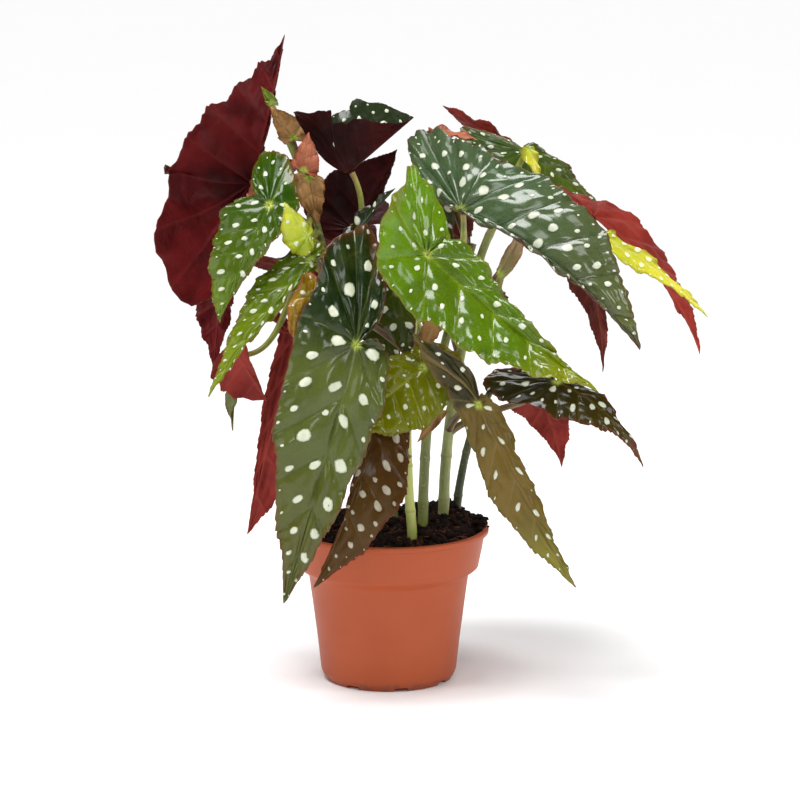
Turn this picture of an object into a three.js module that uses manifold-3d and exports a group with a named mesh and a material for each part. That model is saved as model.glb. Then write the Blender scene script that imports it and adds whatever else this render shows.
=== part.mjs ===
// A polka dot begonia in a nursery pot, in millimetres, +Z up and seen from the front along +Y.
// The origin is the middle of the pot's underside. Each cane is one piece with its leaf stalks,
// and each blade and papery bract is a piece of its own, seated on the end of its stalk.
import * as THREE from 'three';
import { mergeVertices } from 'three/addons/utils/BufferGeometryUtils.js';
import Module from 'manifold-3d';

const wasm = await Module();
wasm.setup();

// Pot
const potHeight = 92;
const potBaseRadius = 38;
const potHeelRadius = 40.6;
const potHeelHeight = 5;
const potShoulderRadius = 48;
const potShoulderHeight = 64;
const collarFootRadius = 54;
const collarFootHeight = 69;
const collarTopRadius = 57.8;
const lipRadius = 60;
const lipHeight = 3;
const potWall = 1.8;
const potFloor = 2.4;
const potSides = 40;
const drainCount = 8;
const drainSize = new THREE.Vector3(7, 8, 2.6);
const drainTurn = 0.2;
const drainSink = 0.4;

// Soil
const soilClearance = 0.35;
const soilEdgeHeight = 87.5;
const soilMound = 5;
const soilLumps = 2.2;
const soilLumpFloor = 0.4;
const soilRings = 5;
const soilSides = 30;

// Stalks and blades
const rootDepth = 34;
const rootPull = 0.75;
const nodeSpacing = 27;
const nodeSwelling = 0.22;
const caneTaper = 0.35;
const caneStepsPerNode = 2;
const stalkRadiusAtCane = 2.3;
const stalkRadiusAtBlade = 1.6;
const caneSides = 8;
const stalkSteps = 6;
const stalkSides = 5;
const stalkArch = 0.12;
const stalkEasing = 0.35;
const stalkSetBack = 1.2;
const stalkDrop = 1.05;
const bladeThickness = 0.8;
const smallBlade = 40;
const bladeRibs = { front: 7, largeFan: 8, smallFan: 3 };
const smallBladeRibs = { front: 4, largeFan: 4, smallFan: 2 };
const ribSegments = 2;

// Each half of a blade's outline, from its tip to the stalk, as [along, across] shares of its length.
const largeHalf = [
  [1, 0], [0.84, 0.05], [0.64, 0.125], [0.42, 0.19], [0.2, 0.222],
  [-0.02, 0.214], [-0.2, 0.206], [-0.35, 0.175], [-0.4, 0.09], [-0.29, -0.005], [-0.12, -0.05], [0, 0],
];
const smallHalf = [
  [1, 0], [0.84, -0.04], [0.64, -0.08], [0.42, -0.115], [0.2, -0.14],
  [0.04, -0.125], [-0.03, -0.06], [0, 0],
];
const frontSpans = 4;
const swingStart = Math.PI / 3;
const swingSpan = 1.9;
const lobeTurn = 0.15;
const edgeWaves = 7;
const edgeDepth = 0.035;
const edgeLift = 2.5;

// Canes: where each leaves the soil and bends, from the foot up, and its radius at the foot.
const canes = {
  front: {
    radius: 3.2,
    path: [[14, -25, 88], [12, -25, 120], [11, -24, 155], [13, -22, 200], [17, -24, 240]],
  },
  middle: {
    radius: 3.4,
    path: [[20, -3, 88], [21, -4, 120], [24, -4, 160], [34, 2, 205], [50, 6, 262]],
  },
  right: {
    radius: 3.6,
    path: [[32, 12, 88], [34, 10, 125], [38, 8, 165], [47, 12, 215], [56, 17, 256], [72, 25, 288]],
  },
  slant: {
    radius: 3.0,
    path: [[40, 24, 88], [43, 25, 112], [51, 29, 146], [66, 30, 178]],
  },
  left: {
    radius: 3.2,
    path: [[4, 14, 88], [-4, 18, 125], [-16, 22, 170], [-30, 20, 220], [-42, 14, 270], [-50, 3, 302]],
  },
};

// Blades. tone names the colour, and cane and from say which cane the stalk leaves, and at what height.
// hand is 1 where the large half is on the right, seen from above with the tip pointing away.
// knot is where the stalk meets the blade, tip its far point, and face the way its upper side looks.
// curl rolls both margins down, and lean turns the stalk's end from square to the blade, 0, to along it, 1.
// bend is how far the midrib turns down from knot to tip, and how far the lobe turns down behind the knot;
// fold is how far the large and the small half are raised, all in degrees. wide scales the two halves across,
// taper narrows them towards the tip, and lobe scales the lobe's length and swings it round, in degrees.
const leaves = [
  {
    name: 'front_long', tone: 'dark', cane: 'front', from: 185, hand: 1,
    knot: [-18, -80, 215], tip: [-60, -82, 65], face: [0.1, -1, 0.1], curl: 0.6, lean: 0.2,
    bend: [25, 20], fold: [4, 10], wide: [1, 1.05], taper: [0, 0], lobe: [1.1, 5],
  },
  {
    name: 'front_under', tone: 'bronze', cane: 'front', from: 140, hand: -1,
    knot: [-4, -42, 178], tip: [-43, -76, 73], face: [0.4, -1, 0], curl: 0.6, lean: 0.2,
    bend: [40, 10], fold: [10, 10], wide: [0.67, 0.45], taper: [-2, 0.8], lobe: [0.3, 0],
  },
  {
    name: 'front_lime', tone: 'lime', cane: 'front', from: 160, hand: -1,
    knot: [20, -52, 197], tip: [-22, -60, 161], face: [0.1, -1, 0.5], curl: 0.6, lean: 0.2,
    bend: [25, 20], fold: [10, 10], wide: [1.75, 2], taper: [-1, -0.35], lobe: [0.8, 68],
  },
  {
    name: 'centre_bright', tone: 'lime', cane: 'front', from: 225, hand: 1,
    knot: [22, -75, 265], tip: [116, -120, 195], face: [0.13, -1, 1], curl: 0.6, lean: 0.2,
    bend: [-16, -40], fold: [3, 24], wide: [1.07, 1.25], taper: [-0.3, 0.8], lobe: [0.92, 58],
  },
  {
    name: 'left_green', tone: 'green', cane: 'front', from: 205, hand: 1,
    knot: [-44, -50, 259], tip: [-102, -75, 184], face: [-0.5, -1, 0.7], curl: 0.6, lean: 0.2,
    bend: [20, 20], fold: [10, 10], wide: [0.8, 0.5], taper: [0, 0], lobe: [0.35, 0],
  },
  {
    name: 'left_bronze', tone: 'amber', cane: 'front', from: 200, hand: 1,
    knot: [-43, -67, 241], tip: [-53, -70, 212], face: [0.2, -1, 0.2], curl: 0.6, lean: 0.2,
    bend: [20, 20], fold: [10, 10], wide: [1.4, 0.8], taper: [-0.8, -0.8], lobe: [1.1, 0],
  },
  {
    name: 'left_upper', tone: 'green', cane: 'left', from: 255, hand: -1,
    knot: [-68, -45, 290], tip: [-96, -62, 225], face: [-0.2, -1, 0.4], curl: 0.6, lean: 0.2,
    bend: [30, 15], fold: [5, 5], wide: [1, 2.1], taper: [0.8, -0.5], lobe: [1.5, 40],
  },
  {
    name: 'left_tall', tone: 'dark', cane: 'left', from: 265, hand: 1,
    knot: [-81, 15, 297], tip: [-62, 40, 383], face: [-0.1, 1, 0.1], curl: 0.6, lean: 0.2,
    bend: [-46, 48], fold: [-12, 46], wide: [2.6, 0.3], taper: [0.73, 0.37], lobe: [2.56, -3],
  },
  {
    name: 'left_hanging', tone: 'dark', cane: 'left', from: 225, hand: -1,
    knot: [-100, 32, 252], tip: [-105, 12, 186], face: [0.2, 1, 0.2], curl: 0.6, lean: 0.2,
    bend: [15, 20], fold: [5, 5], wide: [1.2, 1], taper: [0, 0], lobe: [0.9, 0],
  },
  {
    name: 'left_inner', tone: 'dark', cane: 'left', from: 190, hand: 1,
    knot: [-46, -10, 248], tip: [-85, -10, 254], face: [0.1, 1, 0.4], curl: 0.6, lean: 0.3,
    bend: [15, 20], fold: [5, 5], wide: [1.2, 1.2], taper: [0, 0], lobe: [0.3, 0],
  },
  {
    name: 'left_low', tone: 'dark', cane: 'left', from: 246, hand: 1,
    knot: [-91.3, -24, 205.6], tip: [-71.2, -30, 174.1], face: [0.1, 1, 0.2], curl: 0.6, lean: 0.3,
    bend: [3, -14], fold: [5, 5], wide: [0.87, 2.69], taper: [0.78, -1.5], lobe: [0.24, -8],
  },
  {
    name: 'left_tail', tone: 'green', cane: 'left', from: 270, hand: 1,
    knot: [-86, -8, 199], tip: [-92, -14, 153], face: [-0.9, -0.5, 0.1], curl: 0.6, lean: 0.2,
    bend: [15, -10], fold: [30, 30], wide: [0.9, 0.9], taper: [0, 0], lobe: [0.2, 0],
  },
  {
    name: 'left_red', tone: 'dark', cane: 'left', from: 120, hand: -1,
    knot: [-55.5, 18, 206], tip: [-84.8, 0, 87.2], face: [0.2, 1, 0.2], curl: 0.6, lean: 0.4,
    bend: [-8, 38], fold: [5, 5], wide: [0.37, 1.24], taper: [0.15, -0.66], lobe: [0.38, -45],
  },
  {
    name: 'right_dark', tone: 'dark', cane: 'middle', from: 240, hand: -1,
    knot: [42, -35, 286], tip: [143, -75, 211], face: [0.11, -0.83, 0.69], curl: 0.6, lean: 0.2,
    bend: [58, 4], fold: [20, 30], wide: [1.36, 0.3], taper: [-0.25, 0.26], lobe: [1.43, -20],
  },
  {
    name: 'right_back', tone: 'dark', cane: 'right', from: 286, hand: 1,
    knot: [82, 48, 312], tip: [133, 45, 269], face: [-0.2, -0.8, 1], curl: 0.6, lean: 0.2,
    bend: [30, 10], fold: [10, 10], wide: [1.1, 1], taper: [0, 0], lobe: [1.5, 0],
  },
  {
    name: 'right_lime', tone: 'lime', cane: 'right', from: 286, hand: 1,
    knot: [126, -12, 268], tip: [186, -28, 223], face: [0.2, -0.6, 1], curl: 0.6, lean: 0.2,
    bend: [20, 10], fold: [10, 10], wide: [0.6, 0.6], taper: [0, 0], lobe: [1, 0],
  },
  {
    name: 'right_red', tone: 'dark', cane: 'right', from: 282, hand: 1,
    knot: [122, 25, 276], tip: [186, 12, 195], face: [0.8, 0.8, 0.6], curl: 0.6, lean: 0.2,
    bend: [50, 20], fold: [5, 10], wide: [0.85, 0.3], taper: [0, 0], lobe: [1, 0],
  },
  {
    name: 'top_right', tone: 'dark', cane: 'right', from: 288, hand: 1,
    knot: [72, 72, 312], tip: [33, 76, 338], face: [0.3, 0.8, 0.6], curl: 0.6, lean: 0.2,
    bend: [10, 10], fold: [10, 10], wide: [1.2, 1.2], taper: [0, 0], lobe: [1, 0],
  },
  {
    name: 'top_bronze', tone: 'young', cane: 'middle', from: 255, hand: -1,
    knot: [31, 30, 325], tip: [53, 32, 321], face: [-0.2, -0.6, 1], curl: 0.6, lean: 0.2,
    bend: [10, 10], fold: [10, 10], wide: [1.2, 1.2], taper: [0, 0], lobe: [0.8, 0],
  },
  {
    name: 'top_funnel', tone: 'dark', cane: 'left', from: 215, hand: 1,
    knot: [-23, 5, 304], tip: [15, 24, 335], face: [0.02, 0.34, 1], curl: 0.3, lean: 0.2,
    bend: [0, -38], fold: [66, 78], wide: [3.6, 4], taper: [0.8, -2], lobe: [3.4, -48],
  },
  {
    name: 'middle_back', tone: 'dark', cane: 'left', from: 232, hand: 1,
    knot: [-22, 32, 268], tip: [5, 36, 315], face: [0.1, 1, -0.2], curl: 0.6, lean: 0.2,
    bend: [15, 15], fold: [10, 10], wide: [2.6, 1], taper: [0, 0], lobe: [0.6, 0],
  },
  {
    name: 'middle_rolled', tone: 'green', cane: 'middle', from: 190, hand: 1,
    knot: [-21, -26, 268], tip: [4, -26, 298], face: [-0.6, -0.6, 0.8], curl: 0.6, lean: 0.2,
    bend: [10, 10], fold: [25, 25], wide: [0.5, 1.6], taper: [0, 0], lobe: [0.8, 0],
  },
  {
    name: 'middle_dark', tone: 'dark', cane: 'middle', from: 170, hand: 1,
    knot: [6, -36, 239], tip: [12, -40, 200], face: [-0.2, -1, 0.3], curl: 0.6, lean: 0.2,
    bend: [10, 10], fold: [10, 10], wide: [1.8, 1.8], taper: [0, 0], lobe: [1, 0],
  },
  {
    name: 'middle_right', tone: 'dark', cane: 'middle', from: 225, hand: 1,
    knot: [30, 14, 292], tip: [34, 4, 240], face: [-0.1, -1, 0.2], curl: 0.6, lean: 0.2,
    bend: [10, 10], fold: [10, 10], wide: [1.2, 1.2], taper: [0, 0], lobe: [0.6, 0],
  },
  {
    name: 'low_hanging', tone: 'bronze', cane: 'right', from: 150, hand: 1,
    knot: [52.2, -70, 178.9], tip: [107.5, -85, 75.4], face: [-0.26, -0.93, -0.39], curl: 0.6, lean: 0.2,
    bend: [16, -59], fold: [4, 14], wide: [0.54, 0.77], taper: [-1.2, 0.13], lobe: [1.46, 12],
  },
  {
    name: 'low_right', tone: 'dark', cane: 'slant', from: 172, hand: 1,
    knot: [98, -40, 186.4], tip: [146.9, -60, 140.4], face: [0.49, -0.64, 0.58], curl: 0.6, lean: 0.2,
    bend: [58, 0], fold: [-9, -10], wide: [1.44, 1.66], taper: [0.8, 0.55], lobe: [1.37, -6],
  },
  {
    name: 'low_maroon', tone: 'young', cane: 'right', from: 148, hand: -1,
    knot: [90, 16, 171], tip: [103.9, 10, 126.6], face: [0.2, 1, 0.2], curl: 0.6, lean: 0.2,
    bend: [45, -17], fold: [5, 15], wide: [1.82, 2.52], taper: [0.8, 0.24], lobe: [0.58, -45],
  },
  {
    name: 'right_narrow', tone: 'dark', cane: 'right', from: 278, hand: -1,
    knot: [118.6, 12, 247], tip: [127.7, 6, 185], face: [0.4, 1, 0.2], curl: 0.6, lean: 0.2,
    bend: [45, -30], fold: [20, 20], wide: [1.29, 0.95], taper: [0.8, 0.47], lobe: [0.66, 3],
  },
  {
    name: 'left_lime', tone: 'lime', cane: 'left', from: 282, hand: -1,
    knot: [-46, -56, 274], tip: [-59, -56, 293], face: [-0.3, -1, 0.5], curl: 0.6, lean: 0.2,
    bend: [15, 10], fold: [10, 10], wide: [2.6, 1.5], taper: [0, 0], lobe: [1, 0],
  },
  {
    name: 'middle_low', tone: 'dark', cane: 'middle', from: 150, hand: 1,
    knot: [-5, -8, 219], tip: [6, -16, 187], face: [0, -1, 0.2], curl: 0.6, lean: 0.2,
    bend: [10, 10], fold: [10, 10], wide: [1.8, 1.8], taper: [0, 0], lobe: [0.8, 0],
  },
  {
    name: 'back_centre', tone: 'green', cane: 'middle', from: 235, hand: 1,
    knot: [25, 80, 282], tip: [23, 138, 187], face: [0.05, 0.8, 0.6], curl: 0.6, lean: 0.2,
    bend: [40, 20], fold: [8, 8], wide: [1.1, 1.1], taper: [0, 0], lobe: [0.8, 10],
  },
  {
    name: 'back_left', tone: 'dark', cane: 'left', from: 200, hand: -1,
    knot: [-21, 88, 262], tip: [-44, 138, 166], face: [-0.2, 0.9, 0.4], curl: 0.6, lean: 0.2,
    bend: [35, 20], fold: [8, 8], wide: [1.1, 1.1], taper: [0, 0], lobe: [1, 20],
  },
  {
    name: 'back_right', tone: 'dark', cane: 'right', from: 275, hand: -1,
    knot: [98, 84, 280], tip: [127, 134, 232], face: [0.3, 0.5, 0.9], curl: 0.6, lean: 0.2,
    bend: [35, 15], fold: [8, 8], wide: [1.3, 1.2], taper: [0, 0], lobe: [0.9, 10],
  },
  {
    name: 'back_far_left', tone: 'dark', cane: 'left', from: 240, hand: 1,
    knot: [-84, 60, 294], tip: [-110, 110, 233], face: [-0.4, 0.6, 0.8], curl: 0.6, lean: 0.2,
    bend: [35, 15], fold: [8, 8], wide: [1.2, 1.2], taper: [0, 0], lobe: [1, 0],
  },
  {
    name: 'back_low', tone: 'green', cane: 'left', from: 130, hand: 1,
    knot: [-27, 60, 158], tip: [-44, 100, 74], face: [-0.1, 1, 0.4], curl: 0.6, lean: 0.2,
    bend: [30, 15], fold: [8, 8], wide: [1.1, 1.1], taper: [0, 0], lobe: [1, 10],
  },
  {
    name: 'back_low_right', tone: 'dark', cane: 'slant', from: 150, hand: 1,
    knot: [37, 60, 227], tip: [77, 130, 178], face: [0.2, 0.6, 0.9], curl: 0.6, lean: 0.2,
    bend: [35, 15], fold: [8, 8], wide: [1.2, 1.2], taper: [0, 0], lobe: [1, 0],
  },
  {
    name: 'young_pink', tone: 'young', cane: 'left', from: 298, hand: 1,
    knot: [-49, -22, 308], tip: [-46, -22, 330], face: [0, -1, 0.2], curl: 0.6, lean: 0.2,
    bend: [20, 0], fold: [15, 15], wide: [1.8, 2.4], taper: [0, 0], lobe: [0.2, 0],
  },
  {
    name: 'young_olive', tone: 'amber', cane: 'left', from: 298, hand: 1,
    knot: [-56, 3, 325], tip: [-69, -2, 344], face: [0, -1, 0.2], curl: 0.6, lean: 0.2,
    bend: [20, 0], fold: [15, 15], wide: [1.8, 2.2], taper: [0, 0], lobe: [0.4, 0],
  },
  {
    name: 'young_green', tone: 'lime', cane: 'left', from: 298, hand: 1,
    knot: [-68, 2, 345], tip: [-74, -2, 355], face: [0, -1, 0.2], curl: 0.6, lean: 0.2,
    bend: [20, 0], fold: [15, 15], wide: [1.3, 1.8], taper: [0, 0], lobe: [0.4, 0],
  },
  {
    name: 'young_red', tone: 'young', cane: 'left', from: 250, hand: 1,
    knot: [-78, -22, 286], tip: [-78, -24, 302], face: [0, -1, 0.2], curl: 0.6, lean: 0.2,
    bend: [10, 0], fold: [15, 15], wide: [2.4, 2.4], taper: [0, 0], lobe: [0.2, 0],
  },
  {
    name: 'bract_brown', tone: 'dry', cane: 'left', from: 285, hand: 1,
    knot: [-46, -18, 303], tip: [-41, -23, 276], face: [0, -1, 0.2], curl: 0.6, lean: 0.2,
    bend: [30, 20], fold: [20, 20], wide: [1.6, 2.2], taper: [0, 0], lobe: [0.3, 0],
  },
  {
    name: 'right_sliver', tone: 'lime', cane: 'right', from: 280, hand: 1,
    knot: [83, 20, 317], tip: [90, 14, 299], face: [0.3, -1, 0.4], curl: 0.6, lean: 0.2,
    bend: [15, 10], fold: [15, 15], wide: [1.2, 1.4], taper: [-0.5, 0.2], lobe: [0.2, 0],
  },
  {
    name: 'bract_pale', tone: 'dry', cane: 'right', from: 200, hand: 1,
    knot: [65.2, -8, 245.7], tip: [81.6, 0, 274.9], face: [0.2, -1, 0.3], curl: 0.6, lean: 0.2,
    bend: [20, 0], fold: [30, 30], wide: [0.6, 0.63], taper: [-1.5, -1.5], lobe: [1, -13],
  },
  {
    name: 'bract_dry', tone: 'dry', cane: 'middle', from: 155, hand: 1,
    knot: [31, -28, 168], tip: [17, -34, 150], face: [0.3, -1, 0.4], curl: 0.6, lean: 0.2,
    bend: [80, 20], fold: [30, 30], wide: [1.1, 1.1], taper: [0, 0], lobe: [0.3, 0],
  },
  {
    name: 'bract_beige', tone: 'dry', cane: 'front', from: 200, hand: 1,
    knot: [28, -50, 226], tip: [20, -54, 206], face: [0.1, -1, 0.2], curl: 0.6, lean: 0.2,
    bend: [20, 20], fold: [20, 20], wide: [1.5, 1.8], taper: [0, 0], lobe: [0.3, 0],
  },
];

// The same draw for the same number, from 0 to 1.
function chance(seed) {
  const value = Math.sin(seed * 12.9898 + 4.1414) * 43758.5453;
  return value - Math.floor(value);
}

// A geometry as a manifold solid, its faces turned out.
function solid(geometry) {
  const bare = geometry.clone();
  bare.deleteAttribute('normal');
  bare.deleteAttribute('uv');
  const merged = mergeVertices(bare, 1e-4);
  const corners = merged.index.array;
  const kept = [];
  for (let i = 0; i < corners.length; i += 3) {
    const [a, b, c] = corners.slice(i, i + 3);
    if (a !== b && b !== c && c !== a) kept.push(a, b, c);
  }
  const vertProperties = merged.attributes.position.array;
  const make = (triVerts) => new wasm.Manifold(new wasm.Mesh({ numProp: 3, vertProperties, triVerts }));
  const made = make(new Uint32Array(kept));
  return made.volume() > 0 ? made : make(new Uint32Array(kept.reverse()));
}

// A manifold solid as a geometry that three.js can draw.
function geometryOf(manifold) {
  const mesh = manifold.getMesh();
  const geometry = new THREE.BufferGeometry();
  geometry.setAttribute('position', new THREE.BufferAttribute(new Float32Array(mesh.vertProperties), 3));
  geometry.setIndex(new THREE.BufferAttribute(new Uint32Array(mesh.triVerts), 1));
  geometry.computeVertexNormals();
  return geometry;
}

function finish(colour, roughness) {
  return new THREE.MeshStandardMaterial({ color: colour, roughness, metalness: 0 });
}

function piece(name, manifold, material) {
  const mesh = new THREE.Mesh(geometryOf(manifold), material);
  mesh.name = name;
  return mesh;
}

// A round body of revolution about +Z from its [radius, height] profile.
function turned(profile, sides) {
  const points = profile.map(([radius, height]) => new THREE.Vector2(radius, height));
  return new THREE.LatheGeometry(points, sides).rotateX(Math.PI / 2);
}

// A closed tube along a curve, with its radius given for each share of the way.
function tube(curve, radiusAt, steps, sides) {
  const frames = curve.computeFrenetFrames(steps, false);
  const positions = [];
  const index = [];
  for (let step = 0; step <= steps; step++) {
    const centre = curve.getPointAt(step / steps);
    for (let side = 0; side < sides; side++) {
      const turn = (2 * Math.PI * side) / sides;
      const out = frames.normals[step].clone().multiplyScalar(Math.cos(turn));
      out.addScaledVector(frames.binormals[step], Math.sin(turn));
      positions.push(...centre.clone().addScaledVector(out, radiusAt(step / steps)).toArray());
    }
  }
  for (let step = 0; step < steps; step++) {
    for (let side = 0; side < sides; side++) {
      const here = step * sides + side;
      const beside = step * sides + ((side + 1) % sides);
      index.push(here, beside, beside + sides, here, beside + sides, here + sides);
    }
  }
  const last = steps * sides;
  for (let side = 1; side < sides - 1; side++) {
    index.push(0, side + 1, side, last, last + side, last + side + 1);
  }
  const geometry = new THREE.BufferGeometry();
  geometry.setAttribute('position', new THREE.Float32BufferAttribute(positions, 3));
  geometry.setIndex(index);
  return geometry;
}

// The pot: a thin turned shell with a stepped collar, a small lip and drain slots round its heel.
function pot() {
  const inner = (radius) => radius - potWall;
  const profile = [
    [0, 0], [potBaseRadius, 0], [potHeelRadius, potHeelHeight],
    [potShoulderRadius, potShoulderHeight], [collarFootRadius, collarFootHeight],
    [collarTopRadius, potHeight - lipHeight], [lipRadius, potHeight - lipHeight], [lipRadius, potHeight],
    [inner(collarTopRadius), potHeight], [inner(collarFootRadius), collarFootHeight + potWall],
    [inner(potShoulderRadius), potShoulderHeight + potWall],
    [inner(potHeelRadius), potHeelHeight], [inner(potBaseRadius), potFloor], [0, potFloor],
  ];
  let shell = solid(turned(profile, potSides));
  for (let slot = 0; slot < drainCount; slot++) {
    const turn = drainTurn + (2 * Math.PI * slot) / drainCount;
    const cut = new THREE.BoxGeometry(drainSize.x, drainSize.y, drainSize.z);
    cut.translate(potBaseRadius, 0, drainSize.z / 2 - drainSink).rotateZ(turn);
    shell = shell.subtract(solid(cut));
  }
  return shell;
}

// The soil: it fills the pot to just under the lip, with a lumpy mound of a top and a plain hole for a cane.
function soil(stems) {
  const fit = (radius) => radius - potWall - soilClearance;
  const wallAt = (height) => {
    const share = (height - collarFootHeight) / (potHeight - collarFootHeight);
    return THREE.MathUtils.lerp(fit(collarFootRadius), fit(collarTopRadius), share);
  };
  const edge = wallAt(soilEdgeHeight);
  const positions = [];
  const index = [];
  const ring = (radius, heightAt) => {
    for (let side = 0; side < soilSides; side++) {
      const turn = (2 * Math.PI * side) / soilSides;
      positions.push(radius * Math.cos(turn), radius * Math.sin(turn), heightAt(side));
    }
  };
  const floor = potFloor + soilClearance;
  ring(fit(potBaseRadius), () => floor);
  ring(fit(potHeelRadius), () => potHeelHeight + soilClearance);
  ring(fit(potShoulderRadius), () => potShoulderHeight + potWall + soilClearance);
  ring(fit(collarFootRadius), () => collarFootHeight + potWall + 2 * soilClearance);
  ring(edge, () => soilEdgeHeight);
  for (let step = 1; step < soilRings; step++) {
    const share = 1 - step / soilRings;
    const mound = soilMound * (1 - share * share);
    ring(edge * share, (side) =>
      soilEdgeHeight + mound + soilLumps * (chance(step * soilSides + side) - soilLumpFloor));
  }
  const rings = 4 + soilRings;
  for (let step = 0; step < rings - 1; step++) {
    for (let side = 0; side < soilSides; side++) {
      const here = step * soilSides + side;
      const beside = step * soilSides + ((side + 1) % soilSides);
      index.push(here, beside, beside + soilSides, here, beside + soilSides, here + soilSides);
    }
  }
  positions.push(0, 0, floor, 0, 0, soilEdgeHeight + soilMound);
  const bottom = positions.length / 3 - 2;
  const last = (rings - 1) * soilSides;
  for (let side = 0; side < soilSides; side++) {
    const beside = (side + 1) % soilSides;
    index.push(bottom, beside, side, bottom + 1, last + side, last + beside);
  }
  const geometry = new THREE.BufferGeometry();
  geometry.setAttribute('position', new THREE.Float32BufferAttribute(positions, 3));
  geometry.setIndex(index);
  return stems.reduce((body, stem) => body.subtract(stem), solid(geometry));
}

function canePath(cane) {
  const points = cane.path.map((point) => new THREE.Vector3(...point));
  const foot = new THREE.Vector3(points[0].x * rootPull, points[0].y * rootPull, points[0].z - rootDepth);
  return new THREE.CatmullRomCurve3([foot, ...points]);
}

// A cane swells a little at each node, where a leaf scar rings it, and thins towards its top.
function caneRadius(cane, length) {
  return (share) => {
    const fromNode = Math.abs(((share * length) / nodeSpacing) % 1 - 0.5) * 2;
    return cane.radius * (1 - caneTaper * share) * (1 + nodeSwelling * fromNode ** 6);
  };
}

function caneBody(cane, extra) {
  const curve = canePath(cane);
  const length = curve.getLength();
  const radiusAt = caneRadius(cane, length);
  const steps = Math.round((length / nodeSpacing) * caneStepsPerNode);
  return solid(tube(curve, (share) => radiusAt(share) + extra, steps, caneSides));
}

// The frame of a blade: along its midrib, out of its upper face, and across to the right of it.
function bladeFrame(leaf) {
  const knot = new THREE.Vector3(...leaf.knot);
  const chord = new THREE.Vector3(...leaf.tip).sub(knot);
  const along = chord.clone().normalize();
  const face = new THREE.Vector3(...leaf.face);
  face.addScaledVector(along, -face.dot(along)).normalize();
  const across = along.clone().cross(face);
  return { knot, reach: chord.length(), along, face, across };
}

// The midrib of a blade of length 1 in its own plane: a place and a slope for each share along it.
function midrib(leaf) {
  const [bend, back] = leaf.bend.map(THREE.MathUtils.degToRad);
  const steps = 60;
  const slope = (share) => (share >= 0 ? -bend * share : -back * Math.tanh(share / lobeTurn));
  const walk = (share) => {
    let x = 0;
    let y = 0;
    for (let step = 0; step < steps; step++) {
      const angle = slope((share * (step + 0.5)) / steps);
      x += (Math.cos(angle) * share) / steps;
      y += (Math.sin(angle) * share) / steps;
    }
    return [x, y];
  };
  const [endX, endY] = walk(1);
  const lift = Math.atan2(endY, endX);
  const span = Math.hypot(endX, endY);
  return { slope, walk, lift, span };
}

// A point of a blade's middle surface from its flat place, as shares of the blade's length.
function bladePoint(leaf, frame, rib, flatAlong, flatAcross, ripple) {
  const length = frame.reach / rib.span;
  const [x, y] = rib.walk(flatAlong);
  const cos = Math.cos(rib.lift);
  const sin = Math.sin(rib.lift);
  const slope = rib.slope(flatAlong) - rib.lift;
  const fold = THREE.MathUtils.degToRad(leaf.fold[ripple.large ? 0 : 1]);
  const out = ripple.large ? flatAcross : -flatAcross;
  const rise = out * Math.sin(fold) * length - leaf.curl * out * out * length + ripple.rise;
  const acrossBy = leaf.hand * flatAcross * Math.cos(fold) * length;
  return frame.knot.clone()
    .addScaledVector(frame.along, (x * cos + y * sin) * length - Math.sin(slope) * rise)
    .addScaledVector(frame.face, (y * cos - x * sin) * length + Math.cos(slope) * rise)
    .addScaledVector(frame.across, acrossBy);
}

// One half of a blade as ribs: rows of points from the midrib, or from the knot, out to the edge.
function bladeHalf(leaf, large) {
  const frame = bladeFrame(leaf);
  const rib = midrib(leaf);
  const ribs = frame.reach < smallBlade ? smallBladeRibs : bladeRibs;
  const fanRibs = large ? ribs.largeFan : ribs.smallFan;
  const outline = new THREE.SplineCurve((large ? largeHalf : smallHalf).map((p) => new THREE.Vector2(...p)));
  const split = frontSpans / (outline.points.length - 1);
  const rows = [];
  for (let row = 0; row <= ribs.front + fanRibs; row++) {
    const front = Math.min(row / ribs.front, 1);
    const fan = Math.max(row - ribs.front, 0) / fanRibs;
    const share = split * front + (1 - split) * fan;
    const edge = outline.getPoint(share);
    const calm = Math.sin(Math.PI * share);
    edge.multiplyScalar(1 + edgeDepth * calm * Math.sin(2 * Math.PI * edgeWaves * share + leaf.knot[0]));
    edge.y *= leaf.wide[large ? 0 : 1];
    if (edge.x < 0) edge.x *= leaf.lobe[0];
    if (edge.x > 0) edge.y *= 1 - leaf.taper[large ? 0 : 1] * edge.x;
    const swing = large ? Math.max(edge.angle() - swingStart, 0) / swingSpan : 0;
    edge.rotateAround(new THREE.Vector2(), THREE.MathUtils.degToRad(leaf.lobe[1]) * swing);
    const lift = edgeLift * calm * Math.sin(Math.PI * edgeWaves * share + leaf.knot[2]);
    const points = [];
    for (let k = 0; k <= ribSegments; k++) {
      const out = k / ribSegments;
      const flatAlong = THREE.MathUtils.lerp(1 - front, edge.x, out);
      points.push(bladePoint(leaf, frame, rib, flatAlong, edge.y * out, { large, rise: lift * out * out }));
    }
    rows.push(points);
  }
  return rows;
}

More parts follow.
